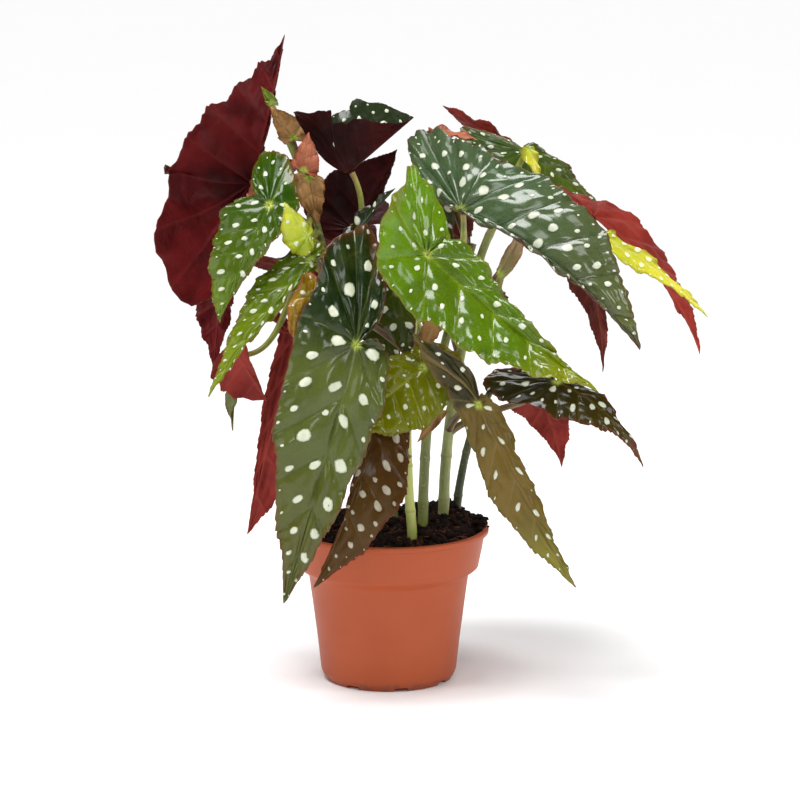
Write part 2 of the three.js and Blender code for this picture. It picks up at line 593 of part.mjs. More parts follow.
// A closed plate from an open surface: the same triangles on both faces, and a band round its edge.
function thicken(points, triangles, thickness) {
  const surface = new THREE.BufferGeometry();
  surface.setAttribute('position', new THREE.Float32BufferAttribute(points.flatMap((p) => p.toArray()), 3));
  surface.setIndex(triangles);
  const merged = mergeVertices(surface, 1e-3);
  merged.computeVertexNormals();
  const place = merged.attributes.position;
  const normal = merged.attributes.normal;
  const count = place.count;
  const positions = [];
  for (const side of [0.5, -0.5]) {
    for (let i = 0; i < count; i++) {
      const point = new THREE.Vector3().fromBufferAttribute(place, i);
      point.addScaledVector(new THREE.Vector3().fromBufferAttribute(normal, i), side * thickness);
      positions.push(...point.toArray());
    }
  }
  const faces = [];
  const edges = new Set();
  for (let i = 0; i < merged.index.count; i += 3) {
    const [a, b, c] = merged.index.array.slice(i, i + 3);
    if (a === b || b === c || c === a) continue;
    faces.push([a, b, c]);
    for (const [from, to] of [[a, b], [b, c], [c, a]]) edges.add(from + ' ' + to);
  }
  const index = faces.flatMap(([a, b, c]) => [a, b, c, count + c, count + b, count + a]);
  for (const edge of edges) {
    const [from, to] = edge.split(' ').map(Number);
    if (!edges.has(to + ' ' + from)) index.push(from, count + from, to, to, count + from, count + to);
  }
  const geometry = new THREE.BufferGeometry();
  geometry.setAttribute('position', new THREE.Float32BufferAttribute(positions, 3));
  geometry.setIndex(index);
  return geometry;
}

function blade(leaf) {
  const points = [];
  const triangles = [];
  for (const large of [true, false]) {
    const rows = bladeHalf(leaf, large);
    const first = points.length;
    const width = ribSegments + 1;
    points.push(...rows.flat());
    for (let row = 0; row < rows.length - 1; row++) {
      for (let k = 0; k < ribSegments; k++) {
        const here = first + row * width + k;
        const quad = [here, here + 1, here + width + 1, here, here + width + 1, here + width];
        triangles.push(...(large ? quad : quad.reverse()));
      }
    }
  }
  return solid(thicken(points, triangles, bladeThickness));
}

// A leaf stalk from its cane to just under the knot of its blade, which it meets square on.
function stalk(leaf) {
  const frame = bladeFrame(leaf);
  const rib = midrib(leaf);
  const slope = -rib.lift;
  const cos = Math.cos(slope);
  const sin = Math.sin(slope);
  const up = frame.face.clone().multiplyScalar(cos).addScaledVector(frame.along, -sin);
  const forward = frame.along.clone().multiplyScalar(cos).addScaledVector(frame.face, sin);
  const curve = canePath(canes[leaf.cane]);
  let start = curve.getPointAt(0);
  for (let share = 0; share <= 1; share += 0.01) {
    const point = curve.getPointAt(share);
    if (point.z <= leaf.from) start = point;
  }
  const end = frame.knot.clone().addScaledVector(up, -stalkDrop).addScaledVector(forward, stalkSetBack);
  const reach = start.distanceTo(end);
  const arrival = up.clone().multiplyScalar(1 - leaf.lean).addScaledVector(forward, leaf.lean).normalize();
  const path = new THREE.CubicBezierCurve3(
    start,
    start.clone().lerp(end, stalkEasing).add(new THREE.Vector3(0, 0, reach * stalkArch)),
    end.clone().addScaledVector(arrival, -reach * stalkEasing),
    end,
  );
  const radiusAt = (share) => THREE.MathUtils.lerp(stalkRadiusAtCane, stalkRadiusAtBlade, share);
  return solid(tube(path, radiusAt, stalkSteps, stalkSides));
}

const terracotta = finish(0xc4714c, 0.45);
const earth = finish(0x1e1512, 0.95);
const stemGreen = finish(0x8c9a55, 0.5);
const tones = {
  dark: finish(0x33482c, 0.35),
  green: finish(0x5f8a2a, 0.35),
  lime: finish(0xa8b81e, 0.35),
  bronze: finish(0x5e5434, 0.4),
  amber: finish(0xa08a3c, 0.45),
  young: finish(0xb0604c, 0.45),
  dry: finish(0xb89468, 0.8),
};

const plant = new THREE.Group();

plant.add(piece('pot', pot(), terracotta));
const holes = Object.values(canes).map((cane) => caneBody(cane, soilClearance));
plant.add(piece('soil', soil(holes), earth));
for (const [name, cane] of Object.entries(canes)) {
  const stalks = leaves.filter((leaf) => leaf.cane === name).map(stalk);
  const body = stalks.reduce((whole, one) => whole.add(one), caneBody(cane, 0));
  plant.add(piece(`cane_${name}`, body, stemGreen));
}
for (const leaf of leaves) plant.add(piece(`leaf_${leaf.name}`, blade(leaf), tones[leaf.tone]));

export default plant;
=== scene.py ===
# The looks of a potted polka dot begonia: spotted leaves, canes, compost and a terracotta-coloured pot.
import math

import bpy
import numpy as np
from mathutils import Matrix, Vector


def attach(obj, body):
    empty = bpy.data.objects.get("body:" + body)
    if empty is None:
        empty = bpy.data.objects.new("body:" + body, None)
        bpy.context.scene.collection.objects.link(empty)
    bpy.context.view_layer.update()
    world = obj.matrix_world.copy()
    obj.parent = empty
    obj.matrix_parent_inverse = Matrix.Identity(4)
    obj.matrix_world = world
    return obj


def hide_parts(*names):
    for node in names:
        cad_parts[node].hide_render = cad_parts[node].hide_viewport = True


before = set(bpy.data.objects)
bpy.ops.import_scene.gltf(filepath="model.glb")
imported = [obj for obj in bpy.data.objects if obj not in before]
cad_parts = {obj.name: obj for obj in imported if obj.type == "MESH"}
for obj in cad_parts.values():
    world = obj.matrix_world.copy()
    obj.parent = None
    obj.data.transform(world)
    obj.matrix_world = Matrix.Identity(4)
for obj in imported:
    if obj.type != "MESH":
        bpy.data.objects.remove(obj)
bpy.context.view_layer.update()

MM = 0.001

# Dots of each tone: the largest half length and the space from one to the next, in millimetres
DOTS = {"dark": (3.2, 9.5), "green": (2.6, 8.5), "lime": (2.1, 12.5), "bronze": (2.8, 10.5)}


class Leaf:
    """One leaf, in millimetres and degrees, with the usual value of what its row doesn't give.

    tone names its colour, and cane and height say where its stalk leaves its cane. knot is where the stalk
    meets the blade, tip its far point, and face the way its upper side looks. bend is how far the midrib
    turns down from knot to tip, and the lobe behind the knot; fold is how far the large and the small half
    are raised, wide scales the two across and taper narrows them towards the tip. lobe scales the lobe's
    length and swings it round. hand is 1 where the large half is on the right, seen from above with the tip
    pointing away. curl rolls both margins down, and lean turns the stalk's end from square to the blade, 0,
    to along it, 1. slimness is a dot's width as a share of its length, quilting how strongly the blade
    stands up between its veins, and scallop how far the margin bulges at each vein's end.
    """
    hand, curl, lean = 1, 0.6, 0.2
    bend, fold, taper, lobe = (10, 10), (10, 10), (0, 0), (1, 0)
    slimness, quilting, scallop = 0.68, 1, 0.5

    def __init__(self, name, tone, cane, height, knot, tip, face, **others):
        self.name, self.tone, self.cane, self.height = name, tone, cane, height
        self.knot, self.tip, self.face = knot, tip, face
        self.look, self.dots, self.pale_stalk = tone, DOTS.get(tone), tone in ("green", "lime")
        vars(self).update(others)


LEAVES = [
    # front_long's look paints shade on its lobe and sheen on its body
    Leaf("front_long", "dark", "front", 185, (-18, -80, 215), (-60, -82, 65), (0.1, -1, 0.1), bend=(25, 20),
         fold=(4, 10), wide=(1, 1.05), lobe=(1.1, 5), look="olive", dots=(4.6, 14), quilting=1.4),
    Leaf("front_under", "bronze", "front", 140, (-4, -42, 178), (-43, -76, 73), (0.4, -1, 0), bend=(40, 10),
         wide=(0.67, 0.45), taper=(-2, 0.8), lobe=(0.3, 0), hand=-1, look="umber", dots=(3.9, 9)),
    Leaf("front_lime", "lime", "front", 160, (20, -52, 197), (-22, -60, 161), (0.1, -1, 0.5), bend=(25, 20),
         wide=(1.75, 2), taper=(-1, -0.35), lobe=(0.8, 68), hand=-1, look="leaf", dots=(2, 9.5),
         quilting=2),
    Leaf("centre_bright", "lime", "front", 225, (22, -75, 265), (116, -120, 195), (0.13, -1, 1),
         bend=(-16, -40), fold=(3, 24), wide=(1.07, 1.25), taper=(-0.3, 0.8), lobe=(0.92, 58),
         dots=(2.4, 11), quilting=1.6, scallop=0.9),
    Leaf("left_green", "green", "front", 205, (-44, -50, 259), (-102, -75, 184), (-0.5, -1, 0.7),
         bend=(20, 20), wide=(0.8, 0.5), lobe=(0.35, 0), look="spring", dots=(2.6, 6.8), slimness=0.45,
         quilting=1.5),
    Leaf("left_bronze", "amber", "front", 200, (-43, -67, 241), (-53, -70, 212), (0.2, -1, 0.2),
         bend=(20, 20), wide=(1.4, 0.8), taper=(-0.8, -0.8), lobe=(1.1, 0), dots=(1.8, 9), quilting=2.5),
    Leaf("left_upper", "green", "left", 255, (-68, -45, 290), (-96, -62, 225), (-0.2, -1, 0.4),
         bend=(30, 15), fold=(5, 5), wide=(1, 2.1), taper=(0.8, -0.5), lobe=(1.5, 40), hand=-1,
         slimness=0.6, quilting=1.5),
    Leaf("left_tall", "dark", "left", 265, (-81, 15, 297), (-62, 40, 383), (-0.1, 1, 0.1), bend=(-46, 48),
         fold=(-12, 46), wide=(2.6, 0.3), taper=(0.73, 0.37), lobe=(2.56, -3), look="tall", quilting=1.9,
         scallop=1.9),
    Leaf("left_hanging", "dark", "left", 225, (-100, 32, 252), (-105, 12, 186), (0.2, 1, 0.2),
         bend=(15, 20), fold=(5, 5), wide=(1.2, 1), lobe=(0.9, 0), hand=-1, look="tall", scallop=1.2),
    Leaf("left_inner", "dark", "left", 190, (-46, -10, 248), (-85, -10, 254), (0.1, 1, 0.4), bend=(15, 20),
         fold=(5, 5), wide=(1.2, 1.2), lobe=(0.3, 0), lean=0.3, look="dusky"),
    Leaf("left_low", "dark", "left", 246, (-91.3, -24, 205.6), (-71.2, -30, 174.1), (0.1, 1, 0.2),
         bend=(3, -14), fold=(5, 5), wide=(0.87, 2.69), taper=(0.78, -1.5), lobe=(0.24, -8), lean=0.3,
         look="red"),
    Leaf("left_tail", "green", "left", 270, (-86, -8, 199), (-92, -14, 153), (-0.9, -0.5, 0.1),
         bend=(15, -10), fold=(30, 30), wide=(0.9, 0.9), lobe=(0.2, 0), look="grey", dots=None),
    Leaf("left_red", "dark", "left", 120, (-55.5, 18, 206), (-84.8, 0, 87.2), (0.2, 1, 0.2), bend=(-8, 38),
         fold=(5, 5), wide=(0.37, 1.24), taper=(0.15, -0.66), lobe=(0.38, -45), hand=-1, lean=0.4,
         look="red"),
    # right_dark's look paints a reflection on its blisters and shade along its veins
    Leaf("right_dark", "dark", "middle", 240, (42, -35, 286), (143, -75, 211), (0.11, -0.83, 0.69),
         bend=(58, 4), fold=(20, 30), wide=(1.36, 0.3), taper=(-0.25, 0.26), lobe=(1.43, -20), hand=-1,
         look="deep", dots=(3.7, 10.2), quilting=1.6, pale_stalk=True),
    Leaf("right_back", "dark", "right", 286, (82, 48, 312), (133, 45, 269), (-0.2, -0.8, 1), bend=(30, 10),
         wide=(1.1, 1), lobe=(1.5, 0), look="moss", dots=(2.2, 7.5), slimness=0.55, pale_stalk=True),
    Leaf("right_lime", "lime", "right", 286, (126, -12, 268), (186, -28, 223), (0.2, -0.6, 1),
         bend=(20, 10), wide=(0.6, 0.6), look="gold", dots=(2, 7), scallop=1),
    # right_red: its underside colour includes a painted glow of light through the leaf
    Leaf("right_red", "dark", "right", 282, (122, 25, 276), (186, 12, 195), (0.8, 0.8, 0.6), bend=(50, 20),
         fold=(5, 10), wide=(0.85, 0.3), look="scarlet", scallop=1),
    Leaf("top_right", "dark", "right", 288, (72, 72, 312), (33, 76, 338), (0.3, 0.8, 0.6), wide=(1.2, 1.2),
         look="red"),
    Leaf("top_bronze", "young", "middle", 255, (31, 30, 325), (53, 32, 321), (-0.2, -0.6, 1),
         wide=(1.2, 1.2), lobe=(0.8, 0), hand=-1),
    Leaf("top_funnel", "dark", "left", 215, (-23, 5, 304), (15, 24, 335), (0.02, 0.34, 1), bend=(0, -38),
         fold=(66, 78), wide=(3.6, 4), taper=(0.8, -2), lobe=(3.4, -48), curl=0.3, look="wine",
         pale_stalk=True),
    Leaf("middle_back", "dark", "left", 232, (-22, 32, 268), (5, 36, 315), (0.1, 1, -0.2), bend=(15, 15),
         wide=(2.6, 1), lobe=(0.6, 0), look="wine", pale_stalk=True),
    Leaf("middle_rolled", "green", "middle", 190, (-21, -26, 268), (4, -26, 298), (-0.6, -0.6, 0.8),
         fold=(25, 25), wide=(0.5, 1.6), lobe=(0.8, 0), look="wine"),
    Leaf("middle_dark", "dark", "middle", 170, (6, -36, 239), (12, -40, 200), (-0.2, -1, 0.3),
         wide=(1.8, 1.8)),
    Leaf("middle_right", "dark", "middle", 225, (30, 14, 292), (34, 4, 240), (-0.1, -1, 0.2),
         wide=(1.2, 1.2), lobe=(0.6, 0)),
    Leaf("low_hanging", "bronze", "right", 150, (52.2, -70, 178.9), (107.5, -85, 75.4),
         (-0.26, -0.93, -0.39), bend=(16, -59), fold=(4, 14), wide=(0.54, 0.77), taper=(-1.2, 0.13),
         lobe=(1.46, 12), dots=(3.3, 13), slimness=0.5, quilting=1.2),
    Leaf("low_right", "dark", "slant", 172, (98, -40, 186.4), (146.9, -60, 140.4), (0.49, -0.64, 0.58),
         bend=(58, 0), fold=(-9, -10), wide=(1.44, 1.66), taper=(0.8, 0.55), lobe=(1.37, -6), look="brown",
         dots=(3, 9)),
    Leaf("low_maroon", "young", "right", 148, (90, 16, 171), (103.9, 10, 126.6), (0.2, 1, 0.2),
         bend=(45, -17), fold=(5, 15), wide=(1.82, 2.52), taper=(0.8, 0.24), lobe=(0.58, -45), hand=-1,
         look="red"),
    Leaf("right_narrow", "dark", "right", 278, (118.6, 12, 247), (127.7, 6, 185), (0.4, 1, 0.2),
         bend=(45, -30), fold=(20, 20), wide=(1.29, 0.95), taper=(0.8, 0.47), lobe=(0.66, 3), hand=-1,
         look="dusky"),
    Leaf("left_lime", "lime", "left", 282, (-46, -56, 274), (-59, -56, 293), (-0.3, -1, 0.5), bend=(15, 10),
         wide=(2.6, 1.5), hand=-1, look="fresh", dots=(1.6, 8), quilting=3),
    Leaf("middle_low", "dark", "middle", 150, (-5, -8, 219), (6, -16, 187), (0, -1, 0.2), wide=(1.8, 1.8),
         lobe=(0.8, 0)),
    Leaf("back_centre", "green", "middle", 235, (25, 80, 282), (23, 138, 187), (0.05, 0.8, 0.6),
         bend=(40, 20), fold=(8, 8), wide=(1.1, 1.1), lobe=(0.8, 10)),
    Leaf("back_left", "dark", "left", 200, (-21, 88, 262), (-44, 138, 166), (-0.2, 0.9, 0.4), bend=(35, 20),
         fold=(8, 8), wide=(1.1, 1.1), lobe=(1, 20), hand=-1),
    Leaf("back_right", "dark", "right", 275, (98, 84, 280), (127, 134, 232), (0.3, 0.5, 0.9), bend=(35, 15),
         fold=(8, 8), wide=(1.3, 1.2), lobe=(0.9, 10), hand=-1),
    Leaf("back_far_left", "dark", "left", 240, (-84, 60, 294), (-110, 110, 233), (-0.4, 0.6, 0.8),
         bend=(35, 15), fold=(8, 8), wide=(1.2, 1.2)),
    Leaf("back_low", "green", "left", 130, (-27, 60, 158), (-44, 100, 74), (-0.1, 1, 0.4), bend=(30, 15),
         fold=(8, 8), wide=(1.1, 1.1), lobe=(1, 10)),
    Leaf("back_low_right", "dark", "slant", 150, (37, 60, 227), (77, 130, 178), (0.2, 0.6, 0.9),
         bend=(35, 15), fold=(8, 8), wide=(1.2, 1.2)),
    Leaf("young_pink", "young", "left", 298, (-49, -22, 308), (-46, -22, 330), (0, -1, 0.2), bend=(20, 0),
         fold=(15, 15), wide=(1.8, 2.4), lobe=(0.2, 0), quilting=4),
    Leaf("young_olive", "amber", "left", 298, (-56, 3, 325), (-69, -2, 344), (0, -1, 0.2), bend=(20, 0),
         fold=(15, 15), wide=(1.8, 2.2), lobe=(0.4, 0), look="dry", quilting=5),
    Leaf("young_green", "lime", "left", 298, (-68, 2, 345), (-74, -2, 355), (0, -1, 0.2), bend=(20, 0),
         fold=(15, 15), wide=(1.3, 1.8), lobe=(0.4, 0)),
    Leaf("young_red", "young", "left", 250, (-78, -22, 286), (-78, -24, 302), (0, -1, 0.2), bend=(10, 0),
         fold=(15, 15), wide=(2.4, 2.4), lobe=(0.2, 0)),
    Leaf("bract_brown", "dry", "left", 285, (-46, -18, 303), (-41, -23, 276), (0, -1, 0.2), bend=(30, 20),
         fold=(20, 20), wide=(1.6, 2.2), lobe=(0.3, 0), quilting=5),
    Leaf("right_sliver", "lime", "right", 280, (83, 20, 317), (90, 14, 299), (0.3, -1, 0.4), bend=(15, 10),
         fold=(15, 15), wide=(1.2, 1.4), taper=(-0.5, 0.2), lobe=(0.2, 0), look="gold", dots=None),
    Leaf("bract_pale", "dry", "right", 200, (65.2, -8, 245.7), (81.6, 0, 274.9), (0.2, -1, 0.3),
         bend=(20, 0), fold=(30, 30), wide=(0.6, 0.63), taper=(-1.5, -1.5), lobe=(1, -13), look="pale"),
    Leaf("bract_dry", "dry", "middle", 155, (31, -28, 168), (17, -34, 150), (0.3, -1, 0.4), bend=(80, 20),
         fold=(30, 30), wide=(1.1, 1.1), lobe=(0.3, 0)),
    Leaf("bract_beige", "dry", "front", 200, (28, -50, 226), (20, -54, 206), (0.1, -1, 0.2), bend=(20, 20),
         fold=(20, 20), wide=(1.5, 1.8), lobe=(0.3, 0)),
]

# Canes, in millimetres: the radius at the foot, the points that each passes through and its two shades
CANES = {
    "front": dict(
        radius=3.2, shades=((184, 190, 100), (156, 166, 72)),
        path=((14, -25, 88), (12, -25, 120), (11, -24, 155), (13, -22, 200), (17, -24, 240)),
    ),
    "middle": dict(
        radius=3.4, shades=((120, 128, 60), (88, 96, 36)),
        path=((20, -3, 88), (21, -4, 120), (24, -4, 160), (34, 2, 205), (50, 6, 262)),
    ),
    "right": dict(
        radius=3.6, shades=((150, 156, 92), (112, 118, 58)),
        path=((32, 12, 88), (34, 10, 125), (38, 8, 165), (47, 12, 215), (56, 17, 256), (72, 25, 288)),
    ),
    "slant": dict(
        radius=3.0, shades=((60, 70, 18), (40, 46, 8)),
        path=((40, 24, 88), (43, 25, 112), (51, 29, 146), (66, 30, 178)),
    ),
    "left": dict(
        radius=3.2, shades=((104, 116, 50), (74, 84, 30)),
        path=((4, 14, 88), (-4, 18, 125), (-16, 22, 170), (-30, 20, 220), (-42, 14, 270), (-50, 3, 302)),
    ),
}
# The two shades of the leaves' stalks, plain and pale
STALK_SHADES = {"red": ((104, 92, 44), (92, 52, 32)), "green": ((150, 158, 60), (122, 126, 44))}

# Three undersides that several looks share: the colour, its second shade and its veins'
BURGUNDY = ((84, 18, 16), (50, 6, 6), (96, 34, 30))
RUSSET = ((78, 22, 16), (48, 10, 8), (92, 36, 28))
MAHOGANY = ((84, 26, 16), (60, 18, 10), (110, 50, 30))


class Look:
    """The colours of a kind of leaf, from 0 to 255 as on a screen, and the usual value of what isn't given.

    lobe and main are the upper side's colours, and turn is where along the blade, as a share of its length
    from the knot, main takes over. tip is a third colour towards the tip, after where it starts and where it
    is full. rough is how dull the blade is, coat how wet its upper side looks, pucker the height of its fine
    blisters in millimetres, and dots the two shades of its dots.
    """
    rough, coat, turn, tip, pucker = 0.24, 0.5, (-0.25, 0.8), None, 1.5
    dots = ((184, 190, 164), (214, 218, 196))

    def __init__(self, lobe, main, vein, margin, under, **others):
        self.lobe, self.main, self.vein, self.margin, self.under = lobe, main, vein, margin, under
        vars(self).update(others)


LOOKS = {
    "dark": Look((34, 50, 8), (62, 72, 18), (72, 84, 30), (84, 44, 20), BURGUNDY),
    # deep: the light sage of lobe and main is a painted reflection of the gloss on the blisters, and the
    # near-black vein colour is partly painted shade in the sunken veins
    "deep": Look((66, 88, 54), (74, 82, 46), (8, 28, 10), (84, 50, 24), BURGUNDY, coat=0.8, turn=(0.1, 0.7),
        tip=(0.5, 1, (86, 92, 40)), pucker=2.8),
    # olive: the lobe's near-black green and the body's paler olive are partly painted, shade on the tilted
    # lobe and sheen on the body below the knot
    "olive": Look((14, 34, 4), (82, 92, 36), (88, 98, 44), (96, 52, 26), BURGUNDY, rough=0.3, coat=0.6,
        turn=(-0.05, 0.12), tip=(0.25, 0.8, (78, 80, 20)), pucker=1.9),
    "moss": Look((44, 66, 12), (78, 90, 28), (92, 106, 40), (96, 60, 30),
        ((110, 34, 26), (80, 16, 12), (124, 50, 40)), pucker=1.8),
    "tall": Look((28, 46, 12), (50, 66, 24), (60, 76, 34), (96, 26, 24),
        ((97, 19, 21), (50, 4, 7), (122, 44, 42))),
    "wine": Look((18, 32, 10), (32, 44, 18), (46, 56, 30), (54, 18, 14),
        ((55, 7, 7), (24, 1, 1), (74, 18, 16))),
    "red": Look((50, 52, 18), (66, 66, 26), (74, 76, 34), (132, 46, 34),
        ((150, 56, 48), (108, 32, 28), (154, 70, 58))),
    # right_red's look: its bright red underside is partly its own red and partly a painted glow of light
    # shining through the thin leaf
    "scarlet": Look((60, 56, 20), (76, 70, 28), (84, 80, 36), (140, 50, 36),
        ((184, 68, 56), (146, 46, 38), (192, 88, 74))),
    "dusky": Look((30, 40, 12), (52, 56, 22), (66, 70, 30), (96, 38, 30),
        ((116, 50, 42), (78, 28, 22), (130, 68, 58))),
    "brown": Look((30, 30, 1), (62, 50, 4), (84, 72, 26), (96, 40, 22), RUSSET, rough=0.34,
        tip=(0.72, 0.85, (100, 34, 28))),
    "green": Look((36, 68, 1), (76, 94, 1), (88, 114, 22), (100, 80, 26), MAHOGANY,
        tip=(0.5, 1, (92, 118, 20)), pucker=1.8),
    "lime": Look((104, 146, 4), (68, 94, 1), (126, 148, 24), (112, 110, 12),
        ((120, 104, 14), (90, 80, 8), (140, 126, 40)), coat=0.7, turn=(-0.3, 0.15),
        tip=(0.55, 1, (132, 134, 6)), pucker=3.2),
    "leaf": Look((58, 66, 1), (112, 116, 1), (140, 146, 30), (104, 84, 16),
        ((110, 90, 14), (84, 70, 8), (130, 112, 36)), turn=(-0.4, 0.6)),
    "gold": Look((150, 160, 8), (214, 204, 60), (214, 212, 110), (140, 130, 30),
        ((140, 120, 24), (110, 90, 14), (160, 140, 50)), pucker=1.2,
        dots=((226, 226, 170), (238, 238, 200))),
    "bronze": Look((12, 22, 2), (108, 88, 34), (128, 108, 66), (96, 80, 24),
        ((80, 26, 18), (56, 16, 10), (104, 50, 34)), rough=0.34, coat=0.3, turn=(-0.06, 0.02),
        tip=(0.5, 1, (130, 128, 40)), pucker=1.2),
    "amber": Look((118, 96, 10), (150, 112, 24), (164, 130, 44), (140, 56, 26),
        ((120, 70, 24), (96, 50, 16), (150, 100, 50)), rough=0.45),
    "young": Look((150, 78, 54), (176, 110, 80), (186, 124, 92), (130, 54, 38),
        ((146, 60, 42), (112, 42, 28), (172, 100, 72)), rough=0.4, coat=0.3),
    "umber": Look((60, 32, 6), (78, 54, 18), (92, 70, 34), (96, 40, 22), RUSSET, coat=0.2,
        dots=((140, 130, 108), (190, 182, 160))),
    "pale": Look((120, 132, 64), (160, 134, 100), (170, 160, 116), (140, 84, 60),
        ((150, 140, 90), (130, 100, 70), (160, 150, 110)), coat=0.2, pucker=0.8),
    "dry": Look((182, 142, 94), (132, 94, 54), (190, 156, 108), (120, 80, 44),
        ((170, 130, 84), (126, 92, 54), (184, 148, 102)), rough=0.8, coat=0),
    "spring": Look((56, 86, 3), (94, 112, 1), (130, 146, 40), (110, 90, 26), MAHOGANY,
        tip=(0.5, 1, (122, 140, 4))),
    "fresh": Look((142, 160, 10), (190, 196, 50), (200, 206, 100), (140, 124, 26),
        ((140, 130, 20), (112, 100, 12), (160, 146, 50))),
    "grey": Look((84, 92, 44), (104, 110, 62), (116, 122, 76), (90, 70, 40),
        ((90, 94, 52), (72, 72, 36), (116, 118, 80))),
}
KNOT_COLOUR = (176, 192, 84)

# Blade outline: each half from its tip to the stalk, as shares of its length along and across
LARGE_HALF = ((1, 0), (0.84, 0.05), (0.64, 0.125), (0.42, 0.19), (0.2, 0.222), (-0.02, 0.214),
              (-0.2, 0.206), (-0.35, 0.175), (-0.4, 0.09), (-0.29, -0.005), (-0.12, -0.05), (0, 0))
SMALL_HALF = ((1, 0), (0.84, -0.04), (0.64, -0.08), (0.42, -0.115), (0.2, -0.14),
              (0.04, -0.125), (-0.03, -0.06), (0, 0))
OUTLINES = (LARGE_HALF, SMALL_HALF)
# The spans of an outline before the knot, and the gaps between veins before and behind it on either half
FRONT_SPANS = 4
VEIN_GAPS = ((5, 6), (5, 2))
SMALL_VEIN_GAPS = ((3, 3), (3, 1))
SMALL_BLADE = 40
MIDRIB_STEPS = 60
LOBE_TURN = 0.15
SWING_START = math.pi / 3
SWING_SPAN = 1.9

# Waves round the edge, their depth as a share of the outline, and half a side vein as a share of its gap
EDGE_WAVES = 7
EDGE_DEPTH = 0.035
VEIN_REACH = 0.035

# Blade detail, in millimetres. Blades shorter than the two full sizes have smaller teeth and blisters.
BLADE_THICKNESS = 0.56
MARGIN_THICKNESS = 0.3
EDGE_LIFT = 2.5
BLISTER_HEIGHT = 2.1
CRINKLE_HEIGHT = 0.42
RUFFLE_HEIGHT = 1.3
FULL_BLISTERS = 150
FULL_TEETH = 110
MIDRIB_HALF_WIDTH = 0.9
MARGIN_WIDTH = 0.8
KNOT_RADIUS = 2.6
# Rows across each gap between two veins, and columns from midrib to margin
ROW_STEPS = (0, 0.05, 0.13, 0.22, 0.31, 0.4, 0.5, 0.6, 0.69, 0.78, 0.87, 0.95)
OUT_STEPS = (0, 0.02, 0.05, 0.1, 0.17, 0.25, 0.34, 0.43, 0.52, 0.61, 0.7, 0.78, 0.85, 0.91, 0.955, 0.985, 1)
# Margin teeth: rows to a tooth, its height at each as a share of its depth, and its depth in millimetres
TOOTH_ROWS = 3
TOOTH_HEIGHTS = (0, 1, 0.5) * 4 + (0,)
TOOTH_DEPTH = 1.5

# Dots: rings from centre to rim as a share of the radius, each with its height above the blade
DOT_RINGS = ((0, 0.5), (0.62, 0.46), (1, 0.22))
DOT_SIDES = 10
DOT_TRIES = 1500
DOT_WOBBLE = 0.13
# How far out the dots reach, as a share of the half's width, and the least plain blade beside them
DOTS_END = 0.97
DOT_TO_VEIN = 0.45
DOT_TO_EDGE = 0.3
DOT_TO_MIDRIB = 1.1

# Canes: sizes in millimetres, and swellings and taper as shares of the radius. ROOT_PULL is how far the
# buried foot is from the pot's axis, as a share of how far the cane is where it leaves the soil.
ROOT_DEPTH = 34
ROOT_PULL = 0.75
CANE_STEPS = 150
CANE_SIDES = 20
CANE_SPAN_STEPS = 30
STALK_PLACES = 100
CANE_TAPER = 0.35
NODE_SPACING = 27
NODE_SWELLING = 0.11
NODE_RING = 0.04
NODE_RING_WIDTH = 0.05

# Stalks: radii and offsets in millimetres, the flares at both ends as shares of the radius, and the rest
# as shares of the stalk's reach
STALK_STEPS = 40
STALK_SIDES = 12
STALK_AT_CANE = 2.3
STALK_AT_BLADE = 1.6
STALK_SET_BACK = 1.2
STALK_DROP = 1.05
FLARE_AT_CANE = 0.3
FLARE_AT_BLADE = 0.12
FLARE_LENGTH = 0.03
STALK_ARCH = 0.12
STALK_EASING = 0.35

# Pot, in millimetres, with places on its outside as radius and height
POT_SIDES = 240
POT_HEIGHT = 92
POT_BASE_RADIUS = 38
POT_HEEL = (40.6, 5)
POT_BODY = [(43, 26), (45.6, 46)]
POT_SHOULDER = (48, 64)
COLLAR_FOOT = (54, 69)
COLLAR_MIDDLE = (55.9, 79)
COLLAR_TOP_RADIUS = 57.8
LIP_RADIUS = 60
LIP_HEIGHT = 3
LIP_ROUND = 0.7
POT_WALL = 1.8
POT_FLOOR = 2.4
DRAIN_COUNT = 8
DRAIN_WIDTH = 8
DRAIN_HEIGHT = 2.2
DRAIN_INSIDE = 34.5
DRAIN_TURN = 0.2
# The profile's points that the drain slots lift, and how far the pot is out of round
DRAIN_ROWS = slice(2, 6)
OUT_OF_ROUND = 0.0016
DUST_HEIGHT = 9
# The least angle of an edge that stays crisp, in degrees
SHARP_EDGE = 38

# Soil: sizes in millimetres, the mesh's rings and turns, and the seed of its random draws
SOIL_RADIUS = 55.2
SOIL_EDGE_HEIGHT = 87.5
SOIL_MOUND = 5
SOIL_RINGS = 70
SOIL_TURNS = 200
SOIL_SEED = 11
# The heap at the right, and the rise towards the back
HEAP_HEIGHT = 9
HEAP_PLACE = (36, 26)
HEAP_REACH = (24, 26)
HEAP_FADE = 0.45
RISE_HEIGHT = 4
RISE_PLACE = 36
RISE_REACH = 18
# Waves of the soil's top: height, its fading at the rim, how many to a millimetre, and how each octave
# fades and shrinks
WAVE_HEIGHT = 2.6
WAVE_RIM_FADE = 0.4
WAVE_RATE = 0.05
WAVE_OCTAVES = 5
WAVES_TO_OCTAVE = 5
WAVE_FADE = 0.62
WAVE_SHRINK = 1.9
WAVE_SEED = 5
